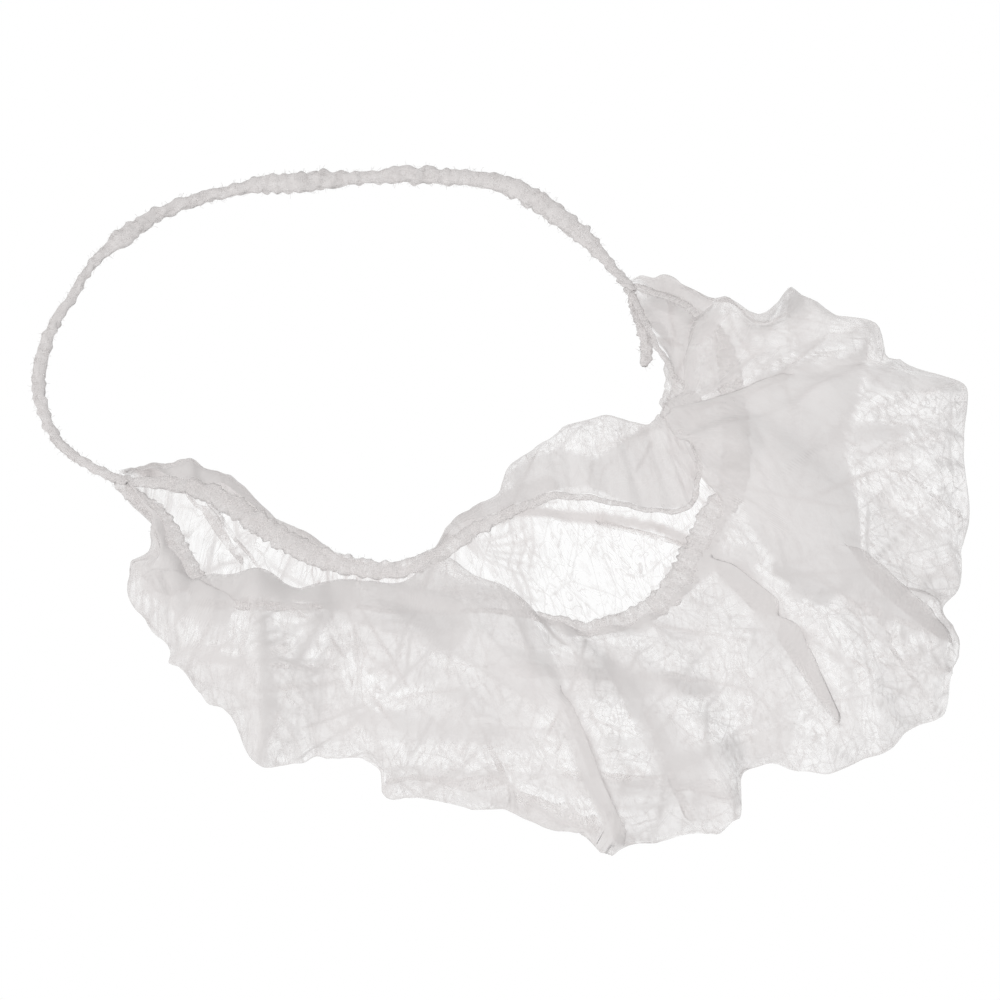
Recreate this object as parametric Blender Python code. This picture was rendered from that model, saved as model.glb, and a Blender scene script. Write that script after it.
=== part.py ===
"""Beard cover of light non-woven fabric, lying open on a table.

The pouch is one thin sheet. Each section across it runs from the back rim down to the table,
forward to the front fold, up over the hollow and back to the front rim. Metres, Z up.
"""

import math

import bpy
import numpy as np

# The cover as it lies
SPREAD_WIDTH = 0.360
SPREAD_DEPTH = 0.341
POUCH_HEIGHT = 0.075

# Fabric, elastic edges and strap
WALL = 0.0010
RIM_THICKNESS = 0.0032
STRAP_WIDTH = 0.0056
STRAP_THICKNESS = 0.0036
TAIL_WIDTH = 0.0024
CLEARANCE = 0.0004

# Gathers along the rims, and the main folds over the hollow
RIM_GATHERS = 23
GATHER_DEPTH = 0.0026
GATHER_REACH = 0.020
FOLD_HALF_WIDTH = 0.017

# Mesh fineness
POUCH_STATIONS = 93
POUCH_ACROSS = 21
RIM_SIDES = 6
LOOP_STATIONS = 84
LOOP_SIDES = 8
TAIL_STATIONS = 9
RELAX_ROUNDS = 6

SPREAD = np.array([SPREAD_WIDTH, SPREAD_DEPTH, POUCH_HEIGHT])

# Guide curves from the left joint, t = 0, to the right joint, t = 1. Columns: t, then x, y and z as
# shares of the spread width, the spread depth and the pouch height.
BACK_RIM = (
    (0.000, -0.402, 0.016, 0.17),
    (0.050, -0.368, 0.014, 0.19),
    (0.110, -0.315, 0.005, 0.19),
    (0.165, -0.273, -0.023, 0.17),
    (0.220, -0.209, -0.076, 0.14),
    (0.265, -0.156, -0.106, 0.13),
    (0.300, -0.103, -0.117, 0.14),
    (0.330, -0.071, -0.104, 0.17),
    (0.365, -0.028, -0.064, 0.21),
    (0.400, 0.014, -0.045, 0.27),
    (0.440, 0.055, -0.031, 0.31),
    (0.500, 0.110, -0.040, 0.33),
    (0.560, 0.163, -0.058, 0.34),
    (0.620, 0.200, -0.058, 0.35),
    (0.700, 0.213, 0.003, 0.37),
    (0.800, 0.215, 0.084, 0.39),
    (0.880, 0.190, 0.132, 0.35),
    (0.920, 0.172, 0.180, 0.31),
    (0.960, 0.155, 0.238, 0.27),
    (1.000, 0.142, 0.291, 0.23),
)
BACK_FOLD = (
    (0.000, -0.402, 0.016, 0.17),
    (0.050, -0.368, 0.045, 0.11),
    (0.110, -0.320, 0.054, 0.11),
    (0.165, -0.273, 0.017, 0.11),
    (0.220, -0.209, -0.045, 0.10),
    (0.265, -0.156, -0.086, 0.09),
    (0.300, -0.103, -0.094, 0.09),
    (0.325, -0.073, -0.084, 0.10),
    (0.350, -0.052, -0.040, 0.11),
    (0.385, 0.004, 0.014, 0.11),
    (0.405, 0.012, 0.052, 0.11),
    (0.450, 0.046, 0.099, 0.11),
    (0.530, 0.110, 0.124, 0.13),
    (0.600, 0.158, 0.109, 0.14),
    (0.680, 0.174, 0.112, 0.18),
    (0.800, 0.172, 0.145, 0.20),
    (0.880, 0.172, 0.180, 0.18),
    (0.930, 0.163, 0.220, 0.15),
    (1.000, 0.142, 0.291, 0.23),
)
FRONT_FOLD = (
    (0.000, -0.402, 0.016, 0.17),
    (0.020, -0.379, -0.026, 0.15),
    (0.038, -0.370, -0.060, 0.13),
    (0.055, -0.387, -0.095, 0.10),
    (0.075, -0.392, -0.148, 0.08),
    (0.092, -0.348, -0.190, 0.12),
    (0.105, -0.354, -0.218, 0.12),
    (0.140, -0.308, -0.289, 0.07),
    (0.180, -0.246, -0.382, 0.06),
    (0.220, -0.177, -0.366, 0.07),
    (0.245, -0.130, -0.384, 0.06),
    (0.262, -0.112, -0.427, 0.06),
    (0.330, 0.014, -0.422, 0.07),
    (0.390, 0.123, -0.482, 0.06),
    (0.455, 0.254, -0.456, 0.06),
    (0.490, 0.268, -0.368, 0.08),
    (0.535, 0.354, -0.370, 0.07),
    (0.580, 0.429, -0.326, 0.09),
    (0.610, 0.480, -0.302, 0.13),
    (0.640, 0.500, -0.219, 0.16),
    (0.665, 0.475, -0.163, 0.16),
    (0.695, 0.497, -0.092, 0.19),
    (0.785, 0.498, 0.099, 0.47),
    (0.820, 0.430, 0.108, 0.56),
    (0.845, 0.405, 0.120, 0.83),
    (0.870, 0.354, 0.125, 0.91),
    (0.895, 0.314, 0.136, 1.05),
    (0.915, 0.282, 0.119, 1.00),
    (0.945, 0.250, 0.165, 0.72),
    (0.960, 0.206, 0.240, 0.54),
    (0.980, 0.174, 0.284, 0.38),
    (1.000, 0.142, 0.291, 0.23),
)
FRONT_RIM = (
    (0.000, -0.402, 0.016, 0.17),
    (0.040, -0.368, -0.035, 0.22),
    (0.080, -0.345, -0.099, 0.27),
    (0.120, -0.318, -0.158, 0.30),
    (0.180, -0.251, -0.187, 0.30),
    (0.235, -0.166, -0.187, 0.29),
    (0.280, -0.103, -0.197, 0.29),
    (0.330, -0.028, -0.199, 0.30),
    (0.370, 0.036, -0.204, 0.32),
    (0.410, 0.080, -0.230, 0.33),
    (0.460, 0.131, -0.228, 0.35),
    (0.530, 0.186, -0.194, 0.38),
    (0.590, 0.218, -0.131, 0.42),
    (0.640, 0.235, -0.090, 0.50),
    (0.700, 0.246, -0.046, 0.60),
    (0.800, 0.244, 0.037, 0.64),
    (0.880, 0.238, 0.115, 0.61),
    (0.920, 0.226, 0.176, 0.54),
    (0.960, 0.192, 0.243, 0.40),
    (1.000, 0.142, 0.291, 0.23),
)
# How far the fabric meets the table beyond the front fold, where the fold stands up. Columns: t, then x
# and y as shares of the spread width and the spread depth, and a height that the table takes away.
FOLD_FOOT = (
    (0.000, 0.000, 0.000, 0.00),
    (0.660, 0.000, 0.000, 0.00),
    (0.720, 0.000, 0.030, 0.00),
    (0.785, 0.000, 0.075, 0.00),
    (0.845, 0.000, 0.115, 0.00),
    (0.895, 0.000, 0.114, 0.00),
    (0.915, -0.012, 0.139, 0.00),
    (0.945, -0.018, 0.108, 0.00),
    (0.960, 0.000, 0.036, 0.00),
    (0.980, 0.000, 0.000, 0.00),
    (1.000, 0.000, 0.000, 0.00),
)
# Where the hem turns over past the front rim. Columns: t, overhang past the rim and crown above the
# straight line from fold to rim, both as shares of the pouch height.
HEM_AND_CROWN = (
    (0.00, 0.00, 0.02),
    (0.06, 0.02, 0.08),
    (0.12, 0.12, 0.16),
    (0.18, 0.18, 0.20),
    (0.28, 0.18, 0.22),
    (0.34, 0.18, 0.24),
    (0.40, 0.02, 0.22),
    (0.50, 0.00, 0.20),
    (0.62, 0.04, 0.18),
    (0.70, 0.26, 0.18),
    (0.80, 0.40, 0.12),
    (0.88, 0.24, 0.08),
    (0.95, 0.04, 0.04),
    (1.00, 0.00, 0.00),
)
# Main folds over the hollow. Columns: t and s at one end, t and s at the other, and height as a share
# of the pouch height. s runs from 0 at the back rim to 1 at the front rim.
FOLDS = (
    (0.60, 0.96, 0.545, 0.62, 0.13),
    (0.40, 0.94, 0.390, 0.60, 0.12),
    (0.50, 0.94, 0.470, 0.62, -0.10),
    (0.18, 0.92, 0.180, 0.60, 0.10),
    (0.24, 0.90, 0.220, 0.66, -0.08),
    (0.30, 0.76, 0.560, 0.80, 0.10),
    (0.26, 0.66, 0.460, 0.70, -0.08),
    (0.66, 0.66, 0.780, 0.80, -0.11),
    (0.70, 0.92, 0.800, 0.64, 0.10),
    (0.10, 0.82, 0.240, 0.78, -0.07),
    (0.84, 0.92, 0.880, 0.62, -0.10),
    (0.90, 0.92, 0.920, 0.60, 0.10),
    (0.46, 0.06, 0.560, 0.14, 0.08),
)

# Strap over the head, laid on the table. Columns: x, y and z of its middle as shares of the spread
# width, the spread depth and the pouch height, its width and its twist in turns.
HEAD_LOOP = (
    (-0.432, 0.044, 0.13, 0.70, 0.00),
    (-0.464, 0.084, 0.08, 0.65, 0.06),
    (-0.483, 0.131, 0.04, 0.70, 0.02),
    (-0.490, 0.175, 0.04, 0.70, -0.05),
    (-0.487, 0.219, 0.04, 0.70, 0.04),
    (-0.475, 0.270, 0.04, 0.75, 0.08),
    (-0.453, 0.314, 0.04, 0.80, 0.02),
    (-0.421, 0.361, 0.04, 0.85, 0.10),
    (-0.390, 0.399, 0.04, 1.10, 0.04),
    (-0.352, 0.434, 0.04, 0.95, 0.04),
    (-0.315, 0.456, 0.04, 1.05, 0.10),
    (-0.273, 0.474, 0.05, 1.00, 0.12),
    (-0.177, 0.484, 0.05, 1.30, 0.05),
    (-0.103, 0.489, 0.05, 1.10, -0.04),
    (-0.028, 0.487, 0.05, 1.25, -0.06),
    (0.025, 0.466, 0.05, 1.10, 0.06),
    (0.062, 0.434, 0.06, 1.00, 0.12),
    (0.110, 0.375, 0.10, 1.15, 0.03),
)
# Loose end of the elastic. Columns: x, y and z in shares as above.
ELASTIC_TAIL = (
    (0.142, 0.240, 0.22),
    (0.150, 0.212, 0.20),
    (0.152, 0.186, 0.17),
)


def material(name, colour, roughness):
    """A plain surface of one colour."""
    made = bpy.data.materials.new(name)
    made.use_nodes = True
    surface = made.node_tree.nodes["Principled BSDF"]
    surface.inputs["Base Color"].default_value = (*colour, 1.0)
    surface.inputs["Roughness"].default_value = roughness
    surface.inputs["Metallic"].default_value = 0.0
    return made


def hermite(knots, values, at, ease=1.0, even=False):
    """Values on the smooth curve through the knots.

    A low ease keeps the corners crisp, and an even curve never swings past its knots.
    """
    slopes = ease * np.gradient(values, knots, axis=0)
    if even:
        steps = np.diff(values, axis=0) / np.diff(knots)[:, None]
        before, after = np.vstack([steps[:1], steps]), np.vstack([steps, steps[-1:]])
        most = 3 * np.minimum(np.abs(before), np.abs(after)) * (before * after > 0)
        slopes = np.clip(slopes, -most, most)
    at = np.clip(at, knots[0], knots[-1])
    k = np.clip(np.searchsorted(knots, at, side="right") - 1, 0, len(knots) - 2)
    span = (knots[k + 1] - knots[k])[:, None]
    u = (at - knots[k])[:, None] / span
    return (
        (2 * u**3 - 3 * u**2 + 1) * values[k]
        + (u**3 - 2 * u**2 + u) * span * slopes[k]
        + (3 * u**2 - 2 * u**3) * values[k + 1]
        + (u**3 - u**2) * span * slopes[k + 1]
    )


def guide(rows, t, ease=1.0):
    """Points of a guide curve at each t, in metres."""
    table = np.array(rows)
    return hermite(table[:, 0], table[:, 1:4] * SPREAD, np.asarray(t, float), ease)


def column(rows, t, index):
    """One column of a table at each t."""
    table = np.array(rows)
    return hermite(table[:, 0], table[:, index : index + 1], t)[:, 0]


def along(points, shares, even=False):
    """Points at shares of the length of the smooth curve through the given ones."""
    chord = np.r_[0.0, np.cumsum(np.linalg.norm(np.diff(points, axis=0), axis=1))]
    dense = hermite(chord, points, np.linspace(0.0, chord[-1], 24 * len(points)), even=even)
    run = np.r_[0.0, np.cumsum(np.linalg.norm(np.diff(dense, axis=0), axis=1))]
    at = run[-1] * np.asarray(shares)
    return np.stack([np.interp(at, run, dense[:, axis]) for axis in range(3)], axis=1)


def level(point, height):
    """The point moved to the given height."""
    return np.array([point[0], point[1], height])


def section(back, behind, foot, fold, front, hem, crown, lift, spacing):
    """One section of the pouch, from the back rim under the hollow to the front rim."""
    out = level(foot - behind, 0.0)
    top = fold - front
    top_out = level(top, 0.0) / max(np.linalg.norm(top[:2]), 1e-6)
    path = [back, 0.5 * (back + behind) + np.array([0.0, 0.0, 0.10 * back[2]]), behind]
    path.append(level(behind + 0.06 * out, lift))
    path.append(level(behind + 0.45 * out, lift))
    path.append(level(foot - 0.05 * out, max(lift, 0.04 * fold[2])))
    if np.linalg.norm(foot - level(fold, 0.0)) > fold[2] / 2:
        path.append(level(0.8 * foot + 0.2 * fold, 0.3 * fold[2]))
    path.append(fold)
    path.append(front + 0.78 * top + np.array([0.0, 0.0, 0.75 * crown]))
    path.append(front + 0.40 * top + np.array([0.0, 0.0, crown]))
    if hem > 2 * RIM_THICKNESS:
        path.append(front - 0.5 * hem * top_out + np.array([0.0, 0.0, 1.4 * RIM_THICKNESS]))
        path.append(front - hem * top_out + np.array([0.0, 0.0, 0.2 * RIM_THICKNESS]))
        path.append(front - 0.6 * hem * top_out - np.array([0.0, 0.0, 1.2 * RIM_THICKNESS]))
    else:
        path.append(front + 0.15 * top + np.array([0.0, 0.0, 0.5 * crown]))
    path.append(front)
    return along(np.array(path), spacing, even=True)


def normals(grid):
    """Unit normals of a grid of points."""
    cross = np.cross(np.gradient(grid, axis=0), np.gradient(grid, axis=1))
    return cross / np.maximum(np.linalg.norm(cross, axis=2, keepdims=True), 1e-9)


def gathers(t, distance, pace):
    """Height of the gathers at a distance from a rim, no deeper than their pitch leaves room for."""
    depth = np.minimum(GATHER_DEPTH, 0.3 * pace / RIM_GATHERS)
    wave = np.sin(math.tau * RIM_GATHERS * t) * (1.0 + 0.35 * np.sin(17.0 * t + 1.0))
    return depth * wave * np.exp(-distance / GATHER_REACH)


def fold_heights(t, s):
    """Ridges and dents of the main folds, at each place on the sheet."""
    along_t, along_s = 1.9 * SPREAD_WIDTH, 0.9 * SPREAD_DEPTH
    total = np.zeros_like(t)
    for t0, s0, t1, s1, height in FOLDS:
        run = np.array([(t1 - t0) * along_t, (s1 - s0) * along_s])
        place = np.stack([(t - t0) * along_t, (s - s0) * along_s], axis=-1)
        share = np.clip(place @ run / (run @ run), 0.0, 1.0)
        away = np.linalg.norm(place - share[..., None] * run, axis=-1)
        ends = np.sin(math.pi * (0.12 + 0.76 * share))
        total += height * POUCH_HEIGHT * ends * np.clip(1.0 - away / FOLD_HALF_WIDTH, 0.0, 1.0)
    return total


def relaxed(grid, ends):
    """The sheet after its stiffness has drawn tight kinks out, with both rims held.

    It keeps its size where ends is 1, and draws together a little where ends falls to 0.
    """
    grid = grid.copy()
    again = -0.26 - 0.26 * ends[1:-1, None, None]
    for _ in range(RELAX_ROUNDS):
        for pull in (0.50, again):
            middle = 0.25 * (grid[:-2, 1:-1] + grid[2:, 1:-1] + grid[1:-1, :-2] + grid[1:-1, 2:])
            grid[1:-1, 1:-1] += pull * (middle - grid[1:-1, 1:-1])
    return grid


def pushed(points, line, reach):
    """Points moved straight away from a line where they lie within reach of it."""
    dense = along(line, np.linspace(0.0, 1.0, 8 * len(line)))
    gaps = np.linalg.norm(points[..., None, :] - dense, axis=-1)
    nearest = dense[np.argmin(gaps, axis=-1)]
    gap = np.min(gaps, axis=-1)[..., None]
    return points + np.clip(reach - gap, 0.0, None) * (points - nearest) / np.maximum(gap, 1e-6)


def rim_line(grid, edge, side):
    """Middle of the elastic edge beside one rim, from the left joint to the right joint."""
    rim, above = grid[:, edge], normals(grid)[:, edge]
    away = -side * np.cross(np.gradient(rim, axis=0), above)
    away /= np.linalg.norm(away, axis=1, keepdims=True)
    seam = rim - WALL / 2 * above
    reach = RIM_THICKNESS / 2 + 1.5 * CLEARANCE
    middle = seam + reach * away
    for _ in range(6):
        middle[1:-1] = 0.25 * (middle[:-2] + 2 * middle[1:-1] + middle[2:])
        middle = pushed(middle, seam, reach)
    ends = []
    for place, into in (joint(0), joint(1)):
        way = into if not ends else -into
        aside = np.cross(way, (0.0, 0.0, 1.0))
        beside = side * (RIM_THICKNESS + CLEARANCE) / 2 * aside / np.linalg.norm(aside)
        ends.append(place + beside + CLEARANCE * into)
    near = [0.5 * (ends[0] + middle[0]), 0.5 * (ends[1] + middle[-1])]
    return np.vstack([ends[0], near[0], middle, near[1], ends[1]])


def clear_of_rims(grid):
    """The sheet moved off both elastic edges, but for the two rows that are sewn to them."""
    grid = grid.copy()
    reach = RIM_THICKNESS / 2 + WALL + 2 * CLEARANCE
    last = grid.shape[1] - 1
    for edge, side, rows in ((0, -1.0, slice(1, None)), (last, 1.0, slice(0, last))):
        grid[:, rows] = pushed(grid[:, rows], rim_line(grid, edge, side), reach)
    return grid


def pouch_grid():
    """Outer skin of the pouch: a row for each station, from back rim to front rim."""
    stations = np.linspace(0.026, 0.975, POUCH_STATIONS)
    spacing = np.linspace(0.0, 1.0, POUCH_ACROSS)
    back, front = guide(BACK_RIM, stations), guide(FRONT_RIM, stations)
    behind = guide(BACK_FOLD, stations, ease=0.6)
    fold = guide(FRONT_FOLD, stations, ease=0.35)
    foot = fold + guide(FOLD_FOOT, stations)
    foot[:, 2] = 0.0
    hem = column(HEM_AND_CROWN, stations, 1) * POUCH_HEIGHT
    crown = column(HEM_AND_CROWN, stations, 2) * POUCH_HEIGHT
    ends = np.clip(np.minimum(stations, 1.0 - stations) / 0.08, 0.0, 1.0)
    lift = 0.5 * (1.0 - ends) * np.minimum(behind[:, 2], fold[:, 2])
    grid = np.array([section(*row, spacing) for row in zip(back, behind, foot, fold, front, hem, crown, lift)])
    steps = np.linalg.norm(np.diff(grid, axis=1), axis=2)
    run = np.concatenate([np.zeros((len(grid), 1)), np.cumsum(steps, axis=1)], axis=1)
    t, s = np.meshgrid(stations, spacing, indexing="ij")
    pace = np.linalg.norm(np.gradient(grid, stations, axis=0), axis=2)
    waves = gathers(t, run, pace) + gathers(t, run[:, -1:] - run, pace)
    room = np.clip(pace / (1.2 * SPREAD_WIDTH), 0.0, 1.0)
    from_rim = np.minimum(run, run[:, -1:] - run) / GATHER_REACH
    rise = ends[:, None] * (waves + room * fold_heights(t, s)) * np.clip(0.3 + from_rim, 0.0, 1.0)
    grid = relaxed(grid + rise[..., None] * normals(grid), ends)
    grid = clear_of_rims(grid)
    grid[..., 2] = np.where(grid[..., 2] < CLEARANCE, 0.0, grid[..., 2])
    return grid


def add_object(name, points, faces, surface):
    """A named object of one mesh."""
    mesh = bpy.data.meshes.new(name)
    mesh.from_pydata([tuple(p) for p in points], [], faces)
    mesh.materials.append(surface)
    mesh.shade_smooth()
    made = bpy.data.objects.new(name, mesh)
    bpy.context.scene.collection.objects.link(made)
    return made


def add_pouch(grid, surface):
    """The gathered pouch, one skin of fabric with its wall."""
    rows, across = grid.shape[:2]
    faces = [
        (i * across + j, (i + 1) * across + j, (i + 1) * across + j + 1, i * across + j + 1)
        for i in range(rows - 1)
        for j in range(across - 1)
    ]
    made = add_object("pouch", grid.reshape(-1, 3), faces, surface)
    wall = made.modifiers.new("wall", "SOLIDIFY")
    wall.thickness = WALL
    wall.offset = -1.0
    return made


def add_tube(name, centres, widths, heights, twists, sides, surface, starts=None, ends=None):
    """A closed tube of elliptical rings along a path, with flat ends that face the given ways."""
    ahead = np.gradient(centres, axis=0)
    if starts is not None:
        ahead[0] = starts
    if ends is not None:
        ahead[-1] = ends
    ahead /= np.linalg.norm(ahead, axis=1, keepdims=True)
    aside = np.cross(ahead, (0.0, 0.0, 1.0))
    aside /= np.linalg.norm(aside, axis=1, keepdims=True)
    above = np.cross(aside, ahead)
    angles = math.tau * (np.arange(sides) + 0.5) / sides
    flat = np.cos(angles)[None, :] * widths[:, None] / 2
    tall = np.sin(angles)[None, :] * heights[:, None] / 2
    roll = math.tau * twists[:, None]
    across = np.cos(roll) * flat - np.sin(roll) * tall
    up = np.sin(roll) * flat + np.cos(roll) * tall
    rings = centres[:, None] + across[..., None] * aside[:, None] + up[..., None] * above[:, None]
    count = len(centres)
    corners = [(i * sides + j, i * sides + (j + 1) % sides) for i in range(count - 1) for j in range(sides)]
    faces = [(a, a + sides, b + sides, b) for a, b in corners]
    faces.append(tuple(range(sides)))
    faces.append(tuple((count - 1) * sides + j for j in reversed(range(sides))))
    return add_object(name, rings.reshape(-1, 3), faces, surface)


def joint(end):
    """Where the strap meets the rims, 0 left or 1 right, and the way from strap to pouch there."""
    place = guide(BACK_RIM, [end])[0]
    last = np.array(HEAD_LOOP)[-end, :3] * SPREAD
    return place, (place - last) / np.linalg.norm(place - last)


def add_rim(name, grid, edge, side, surface):
    """A gathered elastic edge along one rim of the pouch, from joint to joint."""
    centres = rim_line(grid, edge, side)
    wave = np.sin(math.tau * RIM_GATHERS * np.linspace(0.0, 1.0, len(centres)))
    widths = RIM_THICKNESS * (0.90 + 0.10 * wave)
    ways = (joint(0)[1], -joint(1)[1])
    return add_tube(name, centres, widths, widths, 0 * widths, RIM_SIDES, surface, *ways)


def add_head_loop(surface):
    """The whole strap from the left joint round to the right joint."""
    table = np.array(HEAD_LOOP)
    (left, into_left), (right, into_right) = joint(0), joint(1)
    share = np.linspace(0.0, 1.0, LOOP_STATIONS)
    centres = along(np.vstack([left, table[:, :3] * SPREAD, right]), share)
    knots = np.linspace(0.0, 1.0, len(table))
    lumps = 1.0 + 0.10 * np.sin(math.tau * 29 * share) + 0.06 * np.sin(math.tau * 47 * share + 1)
    widths = STRAP_WIDTH * lumps * np.interp(share, knots, table[:, 3])
    twists = hermite(knots, table[:, 4:5], share)[:, 0]
    heights = STRAP_THICKNESS * (1.0 + 0.12 * np.sin(math.tau * 23 * share + 2))
    half = np.hypot(widths * np.sin(math.tau * twists), heights * np.cos(math.tau * twists)) / 2
    centres[:, 2] = np.maximum(centres[:, 2], half)
    return add_tube(
        "head_loop", centres, widths, heights, twists, LOOP_SIDES, surface, -into_left, into_right
    )


def add_tail(surface):
    """The loose end of the elastic, which leaves the right joint beside the back rim."""
    place, into = joint(1)
    aside = np.cross(into, (0.0, 0.0, 1.0))
    aside /= np.linalg.norm(aside)
    beside = RIM_THICKNESS + 1.5 * CLEARANCE + 0.5 * TAIL_WIDTH
    start = place + CLEARANCE * into + beside * aside
    share = np.linspace(0.0, 1.0, TAIL_STATIONS)
    centres = along(np.vstack([start, np.array(ELASTIC_TAIL) * SPREAD]), share)
    widths = TAIL_WIDTH * (1.0 + 0.35 * share)
    return add_tube("elastic_tail", centres, widths, 0.7 * widths, 0.1 * share, 6, surface, into)


def centre_on_table():
    """Brings the middle of the whole cover over the origin, with its lowest point on the table."""
    bpy.context.view_layer.update()
    depsgraph = bpy.context.evaluated_depsgraph_get()
    corners = []
    for made in bpy.context.scene.objects:
        shape = made.evaluated_get(depsgraph)
        corners += [np.array(vertex.co) for vertex in shape.data.vertices]
    low, high = np.min(corners, axis=0), np.max(corners, axis=0)
    shift = np.array([-(low[0] + high[0]) / 2, -(low[1] + high[1]) / 2, -low[2]])
    for made in bpy.context.scene.objects:
        made.location = shift


def main():
    for old in list(bpy.data.objects):
        bpy.data.objects.remove(old, do_unlink=True)
    fabric = material("nonwoven_fabric", (0.80, 0.79, 0.78), 0.85)
    gathered = material("gathered_edge", (0.72, 0.71, 0.70), 0.80)
    elastic = material("elastic", (0.68, 0.67, 0.66), 0.55)
    grid = pouch_grid()
    add_pouch(grid, fabric)
    add_rim("rim_back", grid, 0, -1.0, gathered)
    add_rim("rim_front", grid, POUCH_ACROSS - 1, 1.0, gathered)
    add_head_loop(gathered)
    add_tail(elastic)
    centre_on_table()


main()
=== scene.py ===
"""A gathered, see-through beard cover, lying open on a white table. Metres, Z up."""

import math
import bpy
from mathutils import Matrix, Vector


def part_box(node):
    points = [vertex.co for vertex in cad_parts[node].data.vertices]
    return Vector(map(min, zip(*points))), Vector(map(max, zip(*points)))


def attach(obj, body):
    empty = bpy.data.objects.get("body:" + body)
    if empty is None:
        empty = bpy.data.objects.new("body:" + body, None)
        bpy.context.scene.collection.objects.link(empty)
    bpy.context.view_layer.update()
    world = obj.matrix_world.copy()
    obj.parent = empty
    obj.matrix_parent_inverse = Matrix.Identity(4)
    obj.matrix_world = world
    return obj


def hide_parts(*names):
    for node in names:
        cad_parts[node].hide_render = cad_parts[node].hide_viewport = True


bl_info = {
    "name": "Beard Cover",
    "version": (1, 0, 0),
    "blender": (4, 5, 0),
    "location": "View3D > Sidebar > Beard Cover",
    "description": "Builds a disposable beard cover of thin non-woven fabric, with its table and light",
    "category": "Add Mesh",
}

import bpy
import numpy as np
from bpy.props import FloatProperty, FloatVectorProperty, IntProperty, PointerProperty

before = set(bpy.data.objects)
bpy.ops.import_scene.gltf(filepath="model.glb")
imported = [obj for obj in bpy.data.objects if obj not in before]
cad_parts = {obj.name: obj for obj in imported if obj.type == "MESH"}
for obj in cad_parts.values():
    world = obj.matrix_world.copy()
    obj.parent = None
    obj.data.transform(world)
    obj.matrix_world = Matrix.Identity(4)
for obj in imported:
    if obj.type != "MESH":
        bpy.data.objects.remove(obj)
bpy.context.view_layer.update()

# The cover as the CAD model has it
SPREAD_WIDTH = 0.360
SPREAD_DEPTH = 0.341
POUCH_HEIGHT = 0.075
WALL = 0.0010
RIM_THICKNESS = 0.0032
CLEARANCE = 0.0004
RIM_GATHERS = 23
GATHER_DEPTH = 0.0026
GATHER_REACH = 0.020
FOLD_HALF_WIDTH = 0.017
POUCH_STATIONS = 93
POUCH_ACROSS = 21
RELAX_ROUNDS = 6
FIRST_STATION, LAST_STATION = 0.026, 0.975
SPREAD = np.array([SPREAD_WIDTH, SPREAD_DEPTH, POUCH_HEIGHT])

# Guide curves from the left joint, t = 0, to the right joint, t = 1. Columns: t, then x, y and z as
# shares of the spread width, the spread depth and the pouch height.
BACK_RIM = (
    (0.000, -0.402, 0.016, 0.17),
    (0.050, -0.368, 0.014, 0.19),
    (0.110, -0.315, 0.005, 0.19),
    (0.165, -0.273, -0.023, 0.17),
    (0.220, -0.209, -0.076, 0.14),
    (0.265, -0.156, -0.106, 0.13),
    (0.300, -0.103, -0.117, 0.14),
    (0.330, -0.071, -0.104, 0.17),
    (0.365, -0.028, -0.064, 0.21),
    (0.400, 0.014, -0.045, 0.27),
    (0.440, 0.055, -0.031, 0.31),
    (0.500, 0.110, -0.040, 0.33),
    (0.560, 0.163, -0.058, 0.34),
    (0.620, 0.200, -0.058, 0.35),
    (0.700, 0.213, 0.003, 0.37),
    (0.800, 0.215, 0.084, 0.39),
    (0.880, 0.190, 0.132, 0.35),
    (0.920, 0.172, 0.180, 0.31),
    (0.960, 0.155, 0.238, 0.27),
    (1.000, 0.142, 0.291, 0.23),
)
BACK_FOLD = (
    (0.000, -0.402, 0.016, 0.17),
    (0.050, -0.368, 0.045, 0.11),
    (0.110, -0.320, 0.054, 0.11),
    (0.165, -0.273, 0.017, 0.11),
    (0.220, -0.209, -0.045, 0.10),
    (0.265, -0.156, -0.086, 0.09),
    (0.300, -0.103, -0.094, 0.09),
    (0.325, -0.073, -0.084, 0.10),
    (0.350, -0.052, -0.040, 0.11),
    (0.385, 0.004, 0.014, 0.11),
    (0.405, 0.012, 0.052, 0.11),
    (0.450, 0.046, 0.099, 0.11),
    (0.530, 0.110, 0.124, 0.13),
    (0.600, 0.158, 0.109, 0.14),
    (0.680, 0.174, 0.112, 0.18),
    (0.800, 0.172, 0.145, 0.20),
    (0.880, 0.172, 0.180, 0.18),
    (0.930, 0.163, 0.220, 0.15),
    (1.000, 0.142, 0.291, 0.23),
)
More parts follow.
